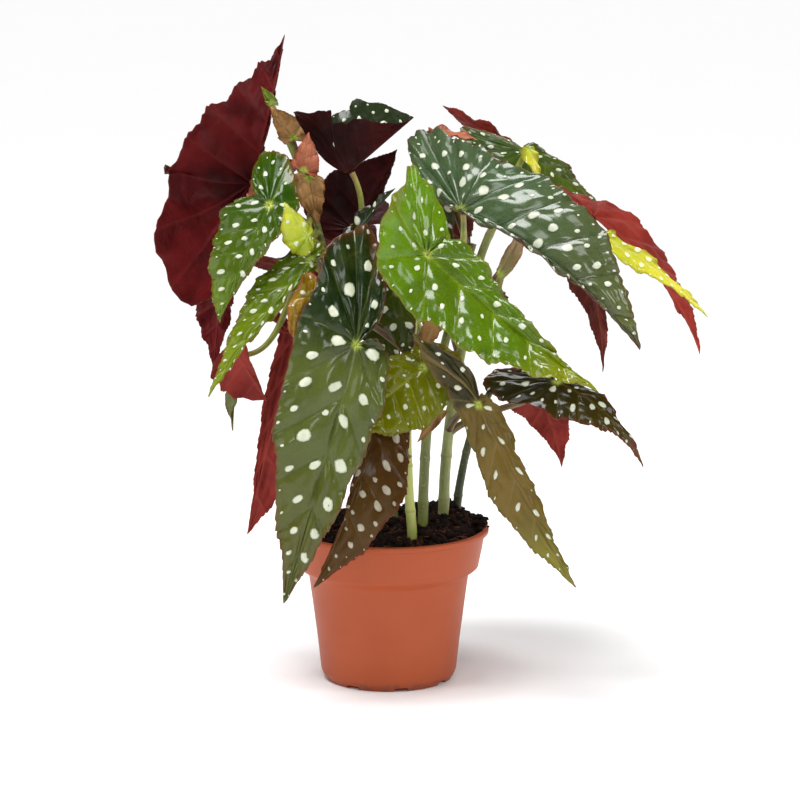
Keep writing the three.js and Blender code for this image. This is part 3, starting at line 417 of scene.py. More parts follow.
# Bits on the soil: how many, then the least size and how much larger they get
CRUMBS = 1500
CRUMB_SIZE = (0.5, 2.8)
CRUMB_SPREAD = 0.985
RIM_CRUMBS = 260
RIM_CRUMB_SIZE = (0.7, 2)
RIM_REACH = (54, 6.2)
FIBRES = 230
FIBRE_STEPS = 9
FIBRE_SIDES = 5
FIBRE_LENGTH = (3, 9)
FIBRE_RADIUS = (0.13, 0.15)
FIBRE_BOW = 1.3
CHIPS = 160
CHIP_LENGTH = (1.2, 2)
CHIP_WIDTH = (0.7, 0.8)
BITS_SPREAD = 0.93
# Where crumbs are spilt on the rim, and how wide each heap is, in degrees
RIM_HEAPS = (0, 15, 25, 35, 50, 70, 100, 150, 190)
RIM_HEAP_SPAN = 30

# Camera, matched to the pot's rim, collar and base in the photograph
CAMERA_PLACE = (0.0068, -1.7, 0.47)
CAMERA_DOWN = math.radians(10.04)
CAMERA_LENS = 130.5
SENSOR_WIDTH = 36

# Studio, in metres. Suns: where each comes from, its strength and its spread in degrees
SUNS = {"overhead": ((-0.18, -0.12, 1), 3.05, 28), "front": ((-0.1, -1, 0.3), 0.15, 60)}
# Lamps: where each stands, its size and its watts. All face one place.
LAMPS = {
    "left": ((-1.0, -0.7, 0.75), 0.9, 5.2),
    "right": ((1.15, -0.3, 0.72), 0.66, 6.8),
    "high": ((-0.08, -1.1, 1.3), 0.4, 2.6),
    "fill": ((0.33, -1.35, 0.66), 0.36, 2.4),
    "top": ((-0.67, 0.3, 1.6), 0.5, 2.4),
    "back": ((0.4, 0.8, 0.9), 0.6, 2),
}
LIT_PLACE = Vector((0.02, 0, 0.22))
WORLD_STRENGTH = 0.08
FLOOR_SIZE = 30
WHITE = (1, 1, 1, 1)


def add_object(name, data):
    item = bpy.data.objects.new(name, data)
    bpy.context.scene.collection.objects.link(item)
    return item


def make_camera():
    data = bpy.data.cameras.new("camera")
    data.sensor_width = SENSOR_WIDTH
    data.lens = CAMERA_LENS
    camera = add_object("camera", data)
    camera.location = CAMERA_PLACE
    camera.rotation_euler = (math.pi / 2 - CAMERA_DOWN, 0, 0)
    bpy.context.scene.camera = camera


def add_light(name, kind, strength, way):
    """A light that shines along a direction."""
    data = bpy.data.lights.new(name, kind)
    data.energy = strength
    light = add_object(name, data)
    light.rotation_euler = way.to_track_quat("-Z", "Y").to_euler()
    return light


def make_lights():
    for name, (place, strength, spread) in SUNS.items():
        sun = add_light(name, "SUN", strength, -Vector(place))
        sun.data.angle = math.radians(spread)
    for name, (place, size, watts) in LAMPS.items():
        lamp = add_light(name, "AREA", watts, LIT_PLACE - Vector(place))
        lamp.location = place
        lamp.data.shape = "DISK"
        lamp.data.size = size


def make_world():
    """A dim white surrounding that the camera sees as plain white."""
    world = bpy.data.worlds.new("studio")
    world.use_nodes = True
    nodes, links = world.node_tree.nodes, world.node_tree.links
    dim = nodes["Background"]
    dim.inputs["Color"].default_value = WHITE
    dim.inputs["Strength"].default_value = WORLD_STRENGTH
    seen = nodes.new("ShaderNodeBackground")
    seen.inputs["Color"].default_value = WHITE
    chosen = nodes.new("ShaderNodeMixShader")
    links.new(nodes.new("ShaderNodeLightPath").outputs["Is Camera Ray"], chosen.inputs["Fac"])
    links.new(dim.outputs["Background"], chosen.inputs[1])
    links.new(seen.outputs["Background"], chosen.inputs[2])
    links.new(chosen.outputs["Shader"], nodes["World Output"].inputs["Surface"])
    bpy.context.scene.world = world
    bpy.context.scene.view_settings.view_transform = "Standard"


# Node helpers
def linear(colour):
    """A screen colour from 0 to 255 as the linear colour that a shader takes."""
    def channel(value):
        value /= 255
        return value / 12.92 if value <= 0.04045 else ((value + 0.055) / 1.055) ** 2.4
    return tuple(channel(value) for value in colour) + (1,)


class Shader:
    """A material under construction: short calls that add nodes and link them."""

    def __init__(self, name, **values):
        self.material = bpy.data.materials.new(name)
        self.material.use_nodes = True
        self.tree = self.material.node_tree
        self.surface = self.tree.nodes["Principled BSDF"]
        for socket, value in values.items():
            self.surface.inputs[socket.replace("_", " ")].default_value = value

    def fill(self, socket, value):
        """Gives an input a value, or links it to an output."""
        if isinstance(value, bpy.types.NodeSocket):
            self.tree.links.new(value, socket)
        else:
            socket.default_value = value

    def add(self, kind, inputs, **settings):
        node = self.tree.nodes.new(kind)
        for key, value in settings.items():
            setattr(node, key, value)
        for key, value in inputs.items():
            self.fill(node.inputs[key], value)
        return node

    def place(self):
        return self.add("ShaderNodeTexCoord", {}).outputs["Object"]

    def attribute(self, name):
        return self.add("ShaderNodeAttribute", {}, attribute_name=name).outputs["Fac"]

    def noise(self, scale, detail=3, roughness=0.5, stretch=None, distortion=0):
        place = self.place()
        if stretch:
            place = self.add("ShaderNodeMapping", {"Scale": stretch, "Vector": place}).outputs["Vector"]
        inputs = {"Scale": scale, "Detail": detail, "Roughness": roughness, "Distortion": distortion}
        return self.add("ShaderNodeTexNoise", {**inputs, "Vector": place}).outputs["Fac"]

    def step(self, value, low, high):
        """value as a share of the way from low to high, smoothed at both ends."""
        inputs = {"From Min": low, "From Max": high, "Value": value}
        return self.add("ShaderNodeMapRange", inputs, interpolation_type="SMOOTHSTEP").outputs["Result"]

    def patches(self, low, high, *noise):
        """A noise as a mask: 0 where it is under low, 1 where it is over high."""
        return self.step(self.noise(*noise), low, high)

    def times(self, a, b):
        return self.add("ShaderNodeMath", {0: a, 1: b}, operation="MULTIPLY").outputs["Value"]

    def plus(self, a, b):
        return self.add("ShaderNodeMath", {0: a, 1: b}, operation="ADD", use_clamp=True).outputs["Value"]

    def mix(self, share, a, b):
        a, b = (linear(colour) if isinstance(colour, tuple) else colour for colour in (a, b))
        return self.add("ShaderNodeMix", {"Factor": share, 6: a, 7: b}, data_type="RGBA").outputs[2]

    def tint(self, colour, mask, amount, other):
        """colour with this amount of another where the mask is 1."""
        return self.mix(self.times(mask, amount), colour, other)

    def bump(self, height, strength, distance):
        inputs = {"Strength": strength, "Distance": distance * MM, "Height": height}
        self.fill(self.surface.inputs["Normal"], self.add("ShaderNodeBump", inputs).outputs["Normal"])

    def finish(self, colour, smooth, rough, scale, detail=2):
        """The finished material, its roughness drifting between two values."""
        inputs = {"To Min": smooth, "To Max": rough, "Value": self.noise(scale, detail)}
        drift = self.add("ShaderNodeMapRange", inputs).outputs["Result"]
        self.fill(self.surface.inputs["Base Color"], colour)
        self.fill(self.surface.inputs["Roughness"], drift)
        return self.material


# Leaf materials
def leaf_top(name):
    look = LOOKS[name]
    shader = Shader("leaf_%s_top" % name, Coat_Weight=look.coat, Coat_Roughness=0.16, Specular_IOR_Level=0.04)
    along = shader.attribute("along")
    mottle = shader.times(shader.patches(0.32, 0.72, 34, 4, 0.6), 0.3)
    # Where main takes over from lobe; in the olive look this change is partly painted shade on the lobe and
    # painted sheen on the body
    tipward = shader.times(shader.step(along, *look.turn), 0.75)
    # Lobe and main colour; in the deep look both are a light sage that paints the gloss's reflection
    colour = shader.mix(shader.plus(mottle, tipward), look.lobe, look.main)
    if look.tip:
        start, end, tip = look.tip
        colour = shader.mix(shader.step(along, start, end), colour, tip)
    colour = shader.tint(colour, shader.patches(0.56, 0.74, 420, 2, 0.7), 0.2, look.vein)
    # Vein colour; in the deep look it is near-black, partly painted shade in the sunken veins
    colour = shader.tint(colour, shader.attribute("vein"), 0.6, look.vein)
    colour = shader.tint(colour, shader.attribute("margin"), 0.75, look.margin)
    colour = shader.mix(shader.attribute("knot"), colour, KNOT_COLOUR)
    cells = shader.add("ShaderNodeTexVoronoi", {"Vector": shader.place(), "Scale": 520},
                       feature="DISTANCE_TO_EDGE")
    grain = shader.times(shader.step(cells.outputs["Distance"], 0, 0.16), 0.05)
    shader.bump(shader.plus(shader.noise(105, 3, 0.45, None, 0.6), grain), 1, look.pucker)
    return shader.finish(colour, look.rough - 0.06, look.rough + 0.12, 60, 3)


def leaf_under(name):
    look = LOOKS[name]
    base, shade, vein = look.under
    shader = Shader("leaf_%s_under" % name, Specular_IOR_Level=0.1)
    # The underside colours; for right_red they are partly a painted glow of light through the leaf
    colour = shader.mix(shader.patches(0.3, 0.72, 26, 4, 0.6), shade, base)
    colour = shader.tint(colour, shader.attribute("vein"), 0.4, vein)
    colour = shader.tint(colour, shader.attribute("margin"), 0.5, look.margin)
    grain = shader.times(shader.noise(900, 2, 0.6), 0.06)
    shader.bump(shader.plus(shader.noise(95, 2, 0.5), grain), 1, 1.6)
    return shader.finish(colour, look.rough + 0.12, look.rough + 0.28, 60, 3)


def leaf_dots(name):
    look = LOOKS[name]
    shader = Shader("leaf_%s_dots" % name, Coat_Weight=0.2, Coat_Roughness=0.2)
    white = shader.mix(shader.noise(300, 2), *look.dots)
    colour = shader.tint(white, shader.step(shader.attribute("halo"), 0.7, 1.0), 0.6, look.vein)
    shader.bump(shader.noise(900, 2), 0.2, 0.08)
    return shader.finish(colour, 0.26, 0.4, 80)


# Blade form. A place on a half blade is a share round its outline, from tip to stalk, and a share out to it.
# side is 0 for the large half and 1 for the small one.
def spline(points, share):
    """Points of a uniform spline through the given ones."""
    points = np.array(points, float)
    last = len(points) - 1
    place = np.clip(share, 0, 1) * last
    step = np.minimum(np.floor(place).astype(int), last)
    t = (place - step)[:, None]
    p0, p1 = points[np.maximum(step - 1, 0)], points[step]
    p2, p3 = points[np.minimum(step + 1, last)], points[np.minimum(step + 2, last)]
    return cubic(p1, p2, (p2 - p0) / 2, (p3 - p1) / 2, t)


def cubic(p1, p2, v1, v2, t):
    """The curve from p1 to p2 that leaves and arrives with these speeds."""
    return (2 * p1 - 2 * p2 + v1 + v2) * t ** 3 + (3 * p2 - 3 * p1 - 2 * v1 - v2) * t ** 2 + v1 * t + p1


def unit(v):
    v = np.array(v, float)
    return v / np.linalg.norm(v)


class Blade:
    """One leaf blade: its frame, its bent midrib, and the surface that both halves follow."""

    def __init__(self, leaf):
        self.leaf = leaf
        self.knot = np.array(leaf.knot, float)
        chord = np.array(leaf.tip, float) - self.knot
        reach = np.linalg.norm(chord)
        self.along = chord / reach
        face = np.array(leaf.face, float)
        self.face = unit(face - self.along * face.dot(self.along))
        self.across = np.cross(self.along, self.face)
        self.bend, self.back = (math.radians(turn) for turn in leaf.bend)
        end_x, end_y = (value[0] for value in self.walk(np.array([1.0])))
        self.lift = math.atan2(end_y, end_x)
        self.length = reach / math.hypot(end_x, end_y)
        self.seed = sum(ord(letter) for letter in leaf.name)
        self.gaps = SMALL_VEIN_GAPS if reach < SMALL_BLADE else VEIN_GAPS

    def slope(self, share):
        return np.where(share >= 0, -self.bend * share, -self.back * np.tanh(share / LOBE_TURN))

    def walk(self, share):
        """Where the midrib is at this share of its length, along and up."""
        middles = (np.arange(MIDRIB_STEPS) + 0.5) / MIDRIB_STEPS
        angles = self.slope(share[:, None] * middles)
        return np.cos(angles).mean(1) * share, np.sin(angles).mean(1) * share

    def outline(self, side, share):
        """The half's edge as flat shares of the blade's length, with its waves, lobe and taper."""
        leaf = self.leaf
        edge = spline(OUTLINES[side], share)
        calm = np.sin(np.pi * share)
        edge *= (1 + EDGE_DEPTH * calm * np.sin(2 * np.pi * EDGE_WAVES * share + leaf.knot[0]))[:, None]
        x, y = edge[:, 0], edge[:, 1] * leaf.wide[side]
        x = np.where(x < 0, x * leaf.lobe[0], x)
        y = np.where(x > 0, y * (1 - leaf.taper[side] * x), y)
        if side == 0:
            angle = np.arctan2(-y, -x) + np.pi
            turn = math.radians(leaf.lobe[1]) * np.maximum(angle - SWING_START, 0) / SWING_SPAN
            x, y = x * np.cos(turn) - y * np.sin(turn), x * np.sin(turn) + y * np.cos(turn)
        return x, y

    def split(self, side):
        """The share of the outline at which the knot stands."""
        return FRONT_SPANS / (len(OUTLINES[side]) - 1)

    def gap(self, side, share):
        """How many gaps between veins lie between the tip and this share."""
        split = self.split(side)
        front, fan = self.gaps[side]
        return np.where(share < split, share / split * front, front + (share - split) / (1 - split) * fan)

    def share_at(self, side, gap):
        """The share round the outline at this many gaps from the tip."""
        split = self.split(side)
        front, fan = self.gaps[side]
        return np.where(gap < front, gap / front * split, split + (gap - front) / fan * (1 - split))

    def flat(self, side, share, out):
        """The place on the flat blade, as shares of its length along and across."""
        x, y = self.outline(side, share)
        foot = 1 - np.minimum(share / self.split(side), 1)
        return foot + (x - foot) * out, y * out

    def margin_step(self, side, share):
        """How far the margin's teeth and scallops reach beyond the plain outline, in millimetres."""
        place = self.gap(side, share)
        between = place - np.floor(place)
        rows = ROW_STEPS + (1,)
        saw = np.interp(between, rows, TOOTH_HEIGHTS)
        number = np.floor(place) * 4 + np.floor(np.interp(between, rows, range(len(rows))) / TOOTH_ROWS)
        size = 0.45 + 0.55 * np.sin(number * 12.9 + self.seed) ** 2
        scale = min(self.length, FULL_TEETH) / FULL_TEETH
        calm = np.clip(np.sin(np.pi * np.clip(share, 0, 1)) * 2.2, 0, 1)
        return calm * scale * (TOOTH_DEPTH * saw * size + np.cos(2 * np.pi * place) * self.leaf.scallop)

    def relief(self, side, share, out, flat_x, flat_y):
        """The blade between its veins stands up in soft blisters, with a finer crinkle over them."""
        place, seed = self.gap(side, share), self.seed
        between = np.abs(np.sin(np.pi * place)) ** 0.7
        swell = (1 - np.exp(-out / 0.14)) * (1 - 0.45 * out)
        uneven = 1 + 0.35 * np.sin(out * 17 + np.floor(place) * 2.3 + seed)
        shift = 0.6 * np.sin(flat_x * 19 + seed) + 0.6 * np.sin(flat_y * 23 - seed)
        crinkle = (np.sin(flat_x * 61 + seed + shift) * np.sin(flat_y * 67 + seed * 1.7 - shift)
                   + 0.6 * np.sin(flat_x * 113 - flat_y * 97 + seed * 0.6 + shift))
        ruffle = RUFFLE_HEIGHT * np.sin(np.pi * share) * np.sin(2 * np.pi * 1.5 * place + seed) * out ** 5
        size = min(self.length, FULL_BLISTERS) / FULL_BLISTERS * self.leaf.quilting
        return size * (BLISTER_HEIGHT * between * swell * uneven + CRINKLE_HEIGHT * crinkle * out + ruffle)

    def surface(self, side, share, out):
        """Places, in millimetres, on the blade's middle surface."""
        leaf, length = self.leaf, self.length
        edge_x, edge_y = self.outline(side, share)
        foot = 1 - np.minimum(share / self.split(side), 1)
        reach = np.maximum(np.hypot(edge_x - foot, edge_y) * length, 3)
        flat_x, flat_y = self.flat(side, share, out * (1 + self.margin_step(side, share) / reach * out ** 5))
        x, y = self.walk(flat_x)
        slope = self.slope(flat_x) - self.lift
        fold = math.radians(leaf.fold[side])
        span = flat_y if side == 0 else -flat_y
        rise = span * math.sin(fold) * length - leaf.curl * span * span * length
        calm = np.sin(np.pi * share)
        rise += EDGE_LIFT * calm * np.sin(np.pi * EDGE_WAVES * share + leaf.knot[2]) * out * out
        rise += self.relief(side, share, out, flat_x, flat_y)
        cos, sin = math.cos(self.lift), math.sin(self.lift)
        return (self.knot
                + self.along * ((x * cos + y * sin) * length - np.sin(slope) * rise)[:, None]
                + self.face * ((y * cos - x * sin) * length + np.cos(slope) * rise)[:, None]
                + self.across * (leaf.hand * flat_y * math.cos(fold) * length)[:, None])


# Meshes
def unique_points(points):
    """The distinct points, and for each given one the place of its own among them."""
    keys = np.round(points, 3)
    _, first, inverse = np.unique(keys, axis=0, return_index=True, return_inverse=True)
    return points[first], first, inverse.ravel()


def corner_normals(points, quads):
    """Smooth normals at the points of a sheet of quads."""
    face = np.cross(points[quads[:, 2]] - points[quads[:, 0]], points[quads[:, 3]] - points[quads[:, 1]])
    normals = np.zeros_like(points)
    for corner in range(4):
        np.add.at(normals, quads[:, corner], face)
    return normals / np.maximum(np.linalg.norm(normals, axis=1), 1e-9)[:, None]


def ring_quads(rings, sides):
    """The quads between closed rings of points."""
    index = np.arange(rings * sides).reshape(rings, sides)
    beside = np.roll(index, -1, axis=1)
    return np.stack((index[:-1], beside[:-1], beside[1:], index[1:]), -1).reshape(-1, 4)


def turned(x, y, z):
    """Points and quads of a surface whose rings are the rows of these."""
    points, _, inverse = unique_points(np.stack((x, y, z), -1).reshape(-1, 3))
    return points, inverse[ring_quads(*x.shape)]


def circle(sides):
    """Angles at equal steps round a circle."""
    return np.arange(sides) / sides * 2 * np.pi


class Sheet:
    """Points and faces gathered for one mesh, with a material number for each face and named values."""

    def __init__(self):
        self.points, self.faces, self.materials = [], [], []
        self.values = {}
        self.count = 0

    def add(self, points, faces, material, **values):
        """Adds faces of one material, or with a number for each."""
        if len(points) == 0:
            return
        for name in values:
            self.values.setdefault(name, [np.zeros(self.count)])
        for name, kept in self.values.items():
            kept.append(np.broadcast_to(np.asarray(values.get(name, 0.0), float), (len(points),)))
        self.points.append(np.asarray(points, float))
        self.faces.extend(np.asarray(faces, int) + self.count)
        self.materials.extend(np.broadcast_to(material, len(faces)).tolist())
        self.count += len(points)

    def build(self, name, materials, node):
        """The piece, without faces that have shrunk to a line."""
        faces, numbers = [], []
        for face, number in zip(self.faces, self.materials):
            corners = list(dict.fromkeys(face.tolist()))
            if len(corners) > 2:
                faces.append(corners)
                numbers.append(number)
        mesh = bpy.data.meshes.new(name)
        mesh.from_pydata((np.concatenate(self.points) * MM).tolist(), [], faces)
        for material in materials:
            mesh.materials.append(material)
        mesh.polygons.foreach_set("material_index", numbers)
        mesh.polygons.foreach_set("use_smooth", [True] * len(faces))
        for value, parts in self.values.items():
            layer = mesh.attributes.new(value, "FLOAT", "POINT")
            layer.data.foreach_set("value", np.concatenate(parts).astype(np.float32))
        mesh.validate()
        mesh.update()
        piece = add_object(name, mesh)
        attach(piece, "root")
        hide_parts(node)
        return piece


# Leaves
class Half:
    """One half of a blade as a grid of places, rows round the outline by columns out from the midrib."""

    def __init__(self, blade, side):
        self.blade, self.side = blade, side
        self.faces_up = blade.leaf.hand * (1 - 2 * side) > 0
        self.gap_count = sum(blade.gaps[side])
        gaps = [gap + step for gap in range(self.gap_count) for step in ROW_STEPS] + [self.gap_count]
        self.shape = (len(gaps), len(OUT_STEPS))
        gap, out = (grid.ravel() for grid in np.meshgrid(np.array(gaps, float), OUT_STEPS, indexing="ij"))
        share = blade.share_at(side, gap)
        self.points = blade.surface(side, share, out)
        self.thickness = BLADE_THICKNESS + (MARGIN_THICKNESS - BLADE_THICKNESS) * out ** 8
        self.along, across = blade.flat(side, share, out)
        between = gap - np.floor(gap)
        near = np.minimum(between, 1 - between)
        side_vein = np.exp(-(near / VEIN_REACH) ** 2) * (1 - 0.6 * out)
        self.vein = np.maximum(side_vein, np.exp(-(across * blade.length / MIDRIB_HALF_WIDTH) ** 2))
        self.knot = np.exp(-(np.hypot(self.along, across) * blade.length / KNOT_RADIUS) ** 4)
        width = np.maximum(np.abs(blade.outline(side, share)[1]) * blade.length, 4)
        self.margin = np.exp(-((1 - out) * width / MARGIN_WIDTH) ** 2)

    def faces(self, start):
        """The half's quads, and the pairs of neighbours along its margin, in the order that closes it."""
        index = np.arange(len(self.points)).reshape(self.shape) + start
        corners = (index[:-1, :-1], index[1:, :-1], index[1:, 1:], index[:-1, 1:])
        quads = np.stack(corners, -1).reshape(-1, 4)
        rim = np.stack((index[:-1, -1], index[1:, -1]), -1)
        return (quads, rim) if self.faces_up else (quads[:, ::-1], rim[:, ::-1])

    def flat_at(self, gap, out):
        """Flat places in millimetres."""
        share = self.blade.share_at(self.side, np.clip(gap, 0, self.gap_count))
        return np.stack(self.blade.flat(self.side, share, out), -1) * self.blade.length

    def slopes_at(self, gap, out):
        """How flat places change with the gap and with the way out."""
        step = 0.01
        along = (self.flat_at(gap + step, out) - self.flat_at(gap - step, out)) / (2 * step)
        outward = (self.flat_at(gap, out + step) - self.flat_at(gap, out - step)) / (2 * step)
        return along, outward

    def sample(self, values, gap, out):
        """Values of the grid at places between its rows and columns."""
        grid = values.reshape(self.shape + (-1,))
        whole = np.clip(np.floor(gap), 0, self.gap_count - 1)
        rows = whole * len(ROW_STEPS) + np.interp(gap - whole, ROW_STEPS + (1,), range(len(ROW_STEPS) + 1))
        columns = np.interp(out, OUT_STEPS, range(len(OUT_STEPS)))
        r0 = np.minimum(np.floor(rows).astype(int), self.shape[0] - 2)
        c0 = np.minimum(np.floor(columns).astype(int), self.shape[1] - 2)
        r, c = (rows - r0)[:, None], (columns - c0)[:, None]
        near = grid[r0, c0] * (1 - c) + grid[r0, c0 + 1] * c
        far = grid[r0 + 1, c0] * (1 - c) + grid[r0 + 1, c0 + 1] * c
        return near * (1 - r) + far * r

    def scatter(self, chance):
        """Places for dots between the veins: gap, way out, half length and half width of each."""
        leaf = self.blade.leaf
        size, space = leaf.dots
        gap = chance.random(DOT_TRIES) * self.gap_count
        out = np.sqrt(chance.random(DOT_TRIES)) * DOTS_END
        share = self.blade.share_at(self.side, gap)
        calm = np.clip(np.sin(np.pi * share) * 1.6, 0.4, 1)
        edge = np.clip((1.06 - out) / 0.45, 0.34, 1)
        length = size * calm * edge * (0.45 + 0.55 * chance.random(DOT_TRIES) ** 2)
        width = length * (leaf.slimness + 0.2 * (chance.random(DOT_TRIES) - 0.5))
        place = self.flat_at(gap, out)
        along, outward = self.slopes_at(gap, out)
        steepness = np.linalg.norm(outward, axis=1)
        room = np.abs(along[:, 0] * outward[:, 1] - along[:, 1] * outward[:, 0]) / np.maximum(steepness, 1e-6)
        between = gap - np.floor(gap)
        good = np.minimum(between, 1 - between) * room > width + DOT_TO_VEIN
        good &= (1 - out) * steepness > length * 0.9 + DOT_TO_EDGE
        good &= np.abs(place[:, 1]) > width + DOT_TO_MIDRIB
        kept = []
        for number in np.argsort(-length * (0.75 + 0.5 * chance.random(DOT_TRIES))):
            if not good[number]:
                continue
            apart = np.linalg.norm(place[kept] - place[number], axis=1)
            least = space * (0.5 + 0.36 * (length[kept] + length[number]) / size)
            if not (apart < least).any():
                kept.append(number)
        return gap[kept], out[kept], length[kept], width[kept]


def dot_rings(half, normals, chance):
    """The points of the dots on a half's upper side, and how near its rim each is."""
    gap, out, length, width = half.scatter(chance)
    along, outward = half.slopes_at(gap, out)
    lengthwise = outward / np.linalg.norm(outward, axis=1)[:, None]
    crosswise = np.stack((-lengthwise[:, 1], lengthwise[:, 0]), -1)
    area = along[:, 0] * outward[:, 1] - along[:, 1] * outward[:, 0]
    area = np.where(np.abs(area) < 1e-6, 1e-6, area)[:, None]
    turns = circle(DOT_SIDES)
    wobble = 1 + DOT_WOBBLE * (chance.random((len(gap), DOT_SIDES)) - 0.5) * 2
    top = half.points + normals * half.thickness[:, None] / 2
    layers, rims = [], []
    for ring, height in DOT_RINGS:
        sides = DOT_SIDES if ring else 1
        reach = ring * wobble[:, :sides]
        a = (reach * np.cos(turns[:sides]) * length[:, None])[..., None] * lengthwise[:, None]
        b = (reach * np.sin(turns[:sides]) * width[:, None])[..., None] * crosswise[:, None]
        move = a + b
        gap_move = (move[..., 0] * outward[:, None, 1] - move[..., 1] * outward[:, None, 0]) / area
        out_move = (along[:, None, 0] * move[..., 1] - along[:, None, 1] * move[..., 0]) / area
        gaps = np.clip(gap[:, None] + gap_move, 0, half.gap_count).ravel()
        outs = np.clip(out[:, None] + out_move, 0, 1).ravel()
        place = half.sample(top, gaps, outs) + half.sample(normals, gaps, outs) * height
        layers.append(place.reshape(len(gap), sides, 3))
        rims.append(np.full((len(gap), sides), float(ring)))
    return np.concatenate(layers, 1), np.concatenate(rims, 1).ravel()


def add_dots(sheet, half, normals, chance):
    """Slightly raised oval patches on a half's upper side."""
    points, halo = dot_rings(half, normals, chance)
    inner = 1 + np.arange(DOT_SIDES)
    after = np.roll(inner, -1)
    fan = np.stack((np.zeros(DOT_SIDES, int), inner, after), -1)
    skirt_a = np.stack((inner, inner + DOT_SIDES, after + DOT_SIDES), -1)
    skirt_b = np.stack((inner, after + DOT_SIDES, after), -1)
    first = np.arange(len(points))[:, None, None] * points.shape[1]
    triangles = (first + np.concatenate((fan, skirt_a, skirt_b))).reshape(-1, 3)
    sheet.add(points.reshape(-1, 3), triangles[:, ::-1] if half.faces_up else triangles, 2, halo=halo)


def make_leaf(leaf, materials):
    """A blade of two thickened halves that share their midrib, with its dots."""
    blade = Blade(leaf)
    chance = np.random.default_rng(blade.seed)
    halves = [Half(blade, 0), Half(blade, 1)]
    start = len(halves[0].points)
    quads, rim = (np.vstack(parts) for parts in zip(halves[0].faces(0), halves[1].faces(start)))
    points, first, inverse = unique_points(np.vstack([half.points for half in halves]))
    normals = corner_normals(points, inverse[quads])
    lift = normals * np.concatenate([half.thickness for half in halves])[first][:, None] / 2
    values = {}
    for value in ("vein", "margin", "along", "knot"):
        values[value] = np.tile(np.concatenate([getattr(half, value) for half in halves])[first], 2)
    top, (a, b), count = inverse[quads], inverse[rim].T, len(points)
    edge = np.stack((a, b, b + count, a + count), -1)
    faces = np.vstack((top, top[:, ::-1] + count, edge))
    numbers = np.repeat((0, 1, 0), (len(top), len(top), len(edge)))
    sheet = Sheet()
    sheet.add(np.vstack((points + lift, points - lift)), faces, numbers, **values)
    for half, places in zip(halves, (inverse[:start], inverse[start:])):
        if leaf.dots:
            add_dots(sheet, half, normals[places], chance)
    return sheet.build("blade_" + leaf.name, materials, "leaf_" + leaf.name)


# Stalks and canes
def cane_curve(points):
    """A dense line through the points, with knots spaced by the root of the distance between them."""
    points = [np.array(point, float) for point in points]
    points = [2 * points[0] - points[1]] + points + [2 * points[-1] - points[-2]]
    line = []
    for number in range(1, len(points) - 2):
        p0, p1, p2, p3 = points[number - 1:number + 3]
        d0, d1, d2 = (math.sqrt(np.linalg.norm(b - a)) for a, b in ((p0, p1), (p1, p2), (p2, p3)))
        v1 = ((p1 - p0) / d0 - (p2 - p0) / (d0 + d1) + (p2 - p1) / d1) * d1
        v2 = ((p2 - p1) / d1 - (p3 - p1) / (d1 + d2) + (p3 - p2) / d2) * d1
        line.append(cubic(p1, p2, v1, v2, np.linspace(0, 1, CANE_SPAN_STEPS, endpoint=False)[:, None]))
    return np.vstack(line + [points[-2][None]])


def even_line(line, count):
    """count + 1 places at equal steps along a line, and the line's length."""
    steps = np.linalg.norm(np.diff(line, axis=0), axis=1)
    walked = np.concatenate(([0], np.cumsum(steps)))
    at = np.linspace(0, walked[-1], count + 1)
    return np.stack([np.interp(at, walked, line[:, axis]) for axis in range(3)], -1), walked[-1]


def tube(line, radii, sides):
    """Points and quads of a capped tube round a line."""
    ways = np.gradient(line, axis=0)
    ways /= np.linalg.norm(ways, axis=1)[:, None]
    side = np.cross(ways[0], (0, 1, 0.3))
    turns = circle(sides)[:, None]
    rings = []
    for place, way, radius in zip(line, ways, radii):
        side = side - way * side.dot(way)
        side /= np.linalg.norm(side)
        rings.append(place + radius * (np.cos(turns) * side + np.sin(turns) * np.cross(way, side)))
    points = np.vstack(rings + [line[:1], line[-1:]])
    around = np.arange(sides)
    beside = np.roll(around, -1)
    last = (len(line) - 1) * sides
    foot, head = np.full(sides, len(points) - 2), np.full(sides, len(points) - 1)
    caps = [np.stack((foot, beside, around, around), -1),
            np.stack((head, around + last, beside + last, beside + last), -1)]
    return points, np.vstack([ring_quads(len(line), sides)] + caps)


def cane_line(cane):
    """A cane's centre line, from its foot deep in the soil."""
    x, y, z = cane["path"][0]
    return cane_curve(((x * ROOT_PULL, y * ROOT_PULL, z - ROOT_DEPTH),) + cane["path"])


def stalk_line(blade):
    """The stalk's centre line, from the cane to the underside of the knot."""
    leaf = blade.leaf
    places, _ = even_line(cane_line(CANES[leaf.cane]), STALK_PLACES)
    start = places[places[:, 2] <= leaf.height][-1]
    slope = -blade.lift
    up = blade.face * math.cos(slope) - blade.along * math.sin(slope)
    forward = blade.along * math.cos(slope) + blade.face * math.sin(slope)
    end = blade.knot - up * STALK_DROP + forward * STALK_SET_BACK
    arrival = unit(up * (1 - leaf.lean) + forward * leaf.lean)
    reach = np.linalg.norm(end - start)
    rise = start + (end - start) * STALK_EASING + np.array((0, 0, STALK_ARCH * reach))
    settle = end - arrival * STALK_EASING * reach
    t = np.linspace(0, 1, STALK_STEPS)[:, None]
    return start * (1 - t) ** 3 + 3 * rise * t * (1 - t) ** 2 + 3 * settle * t * t * (1 - t) + end * t ** 3


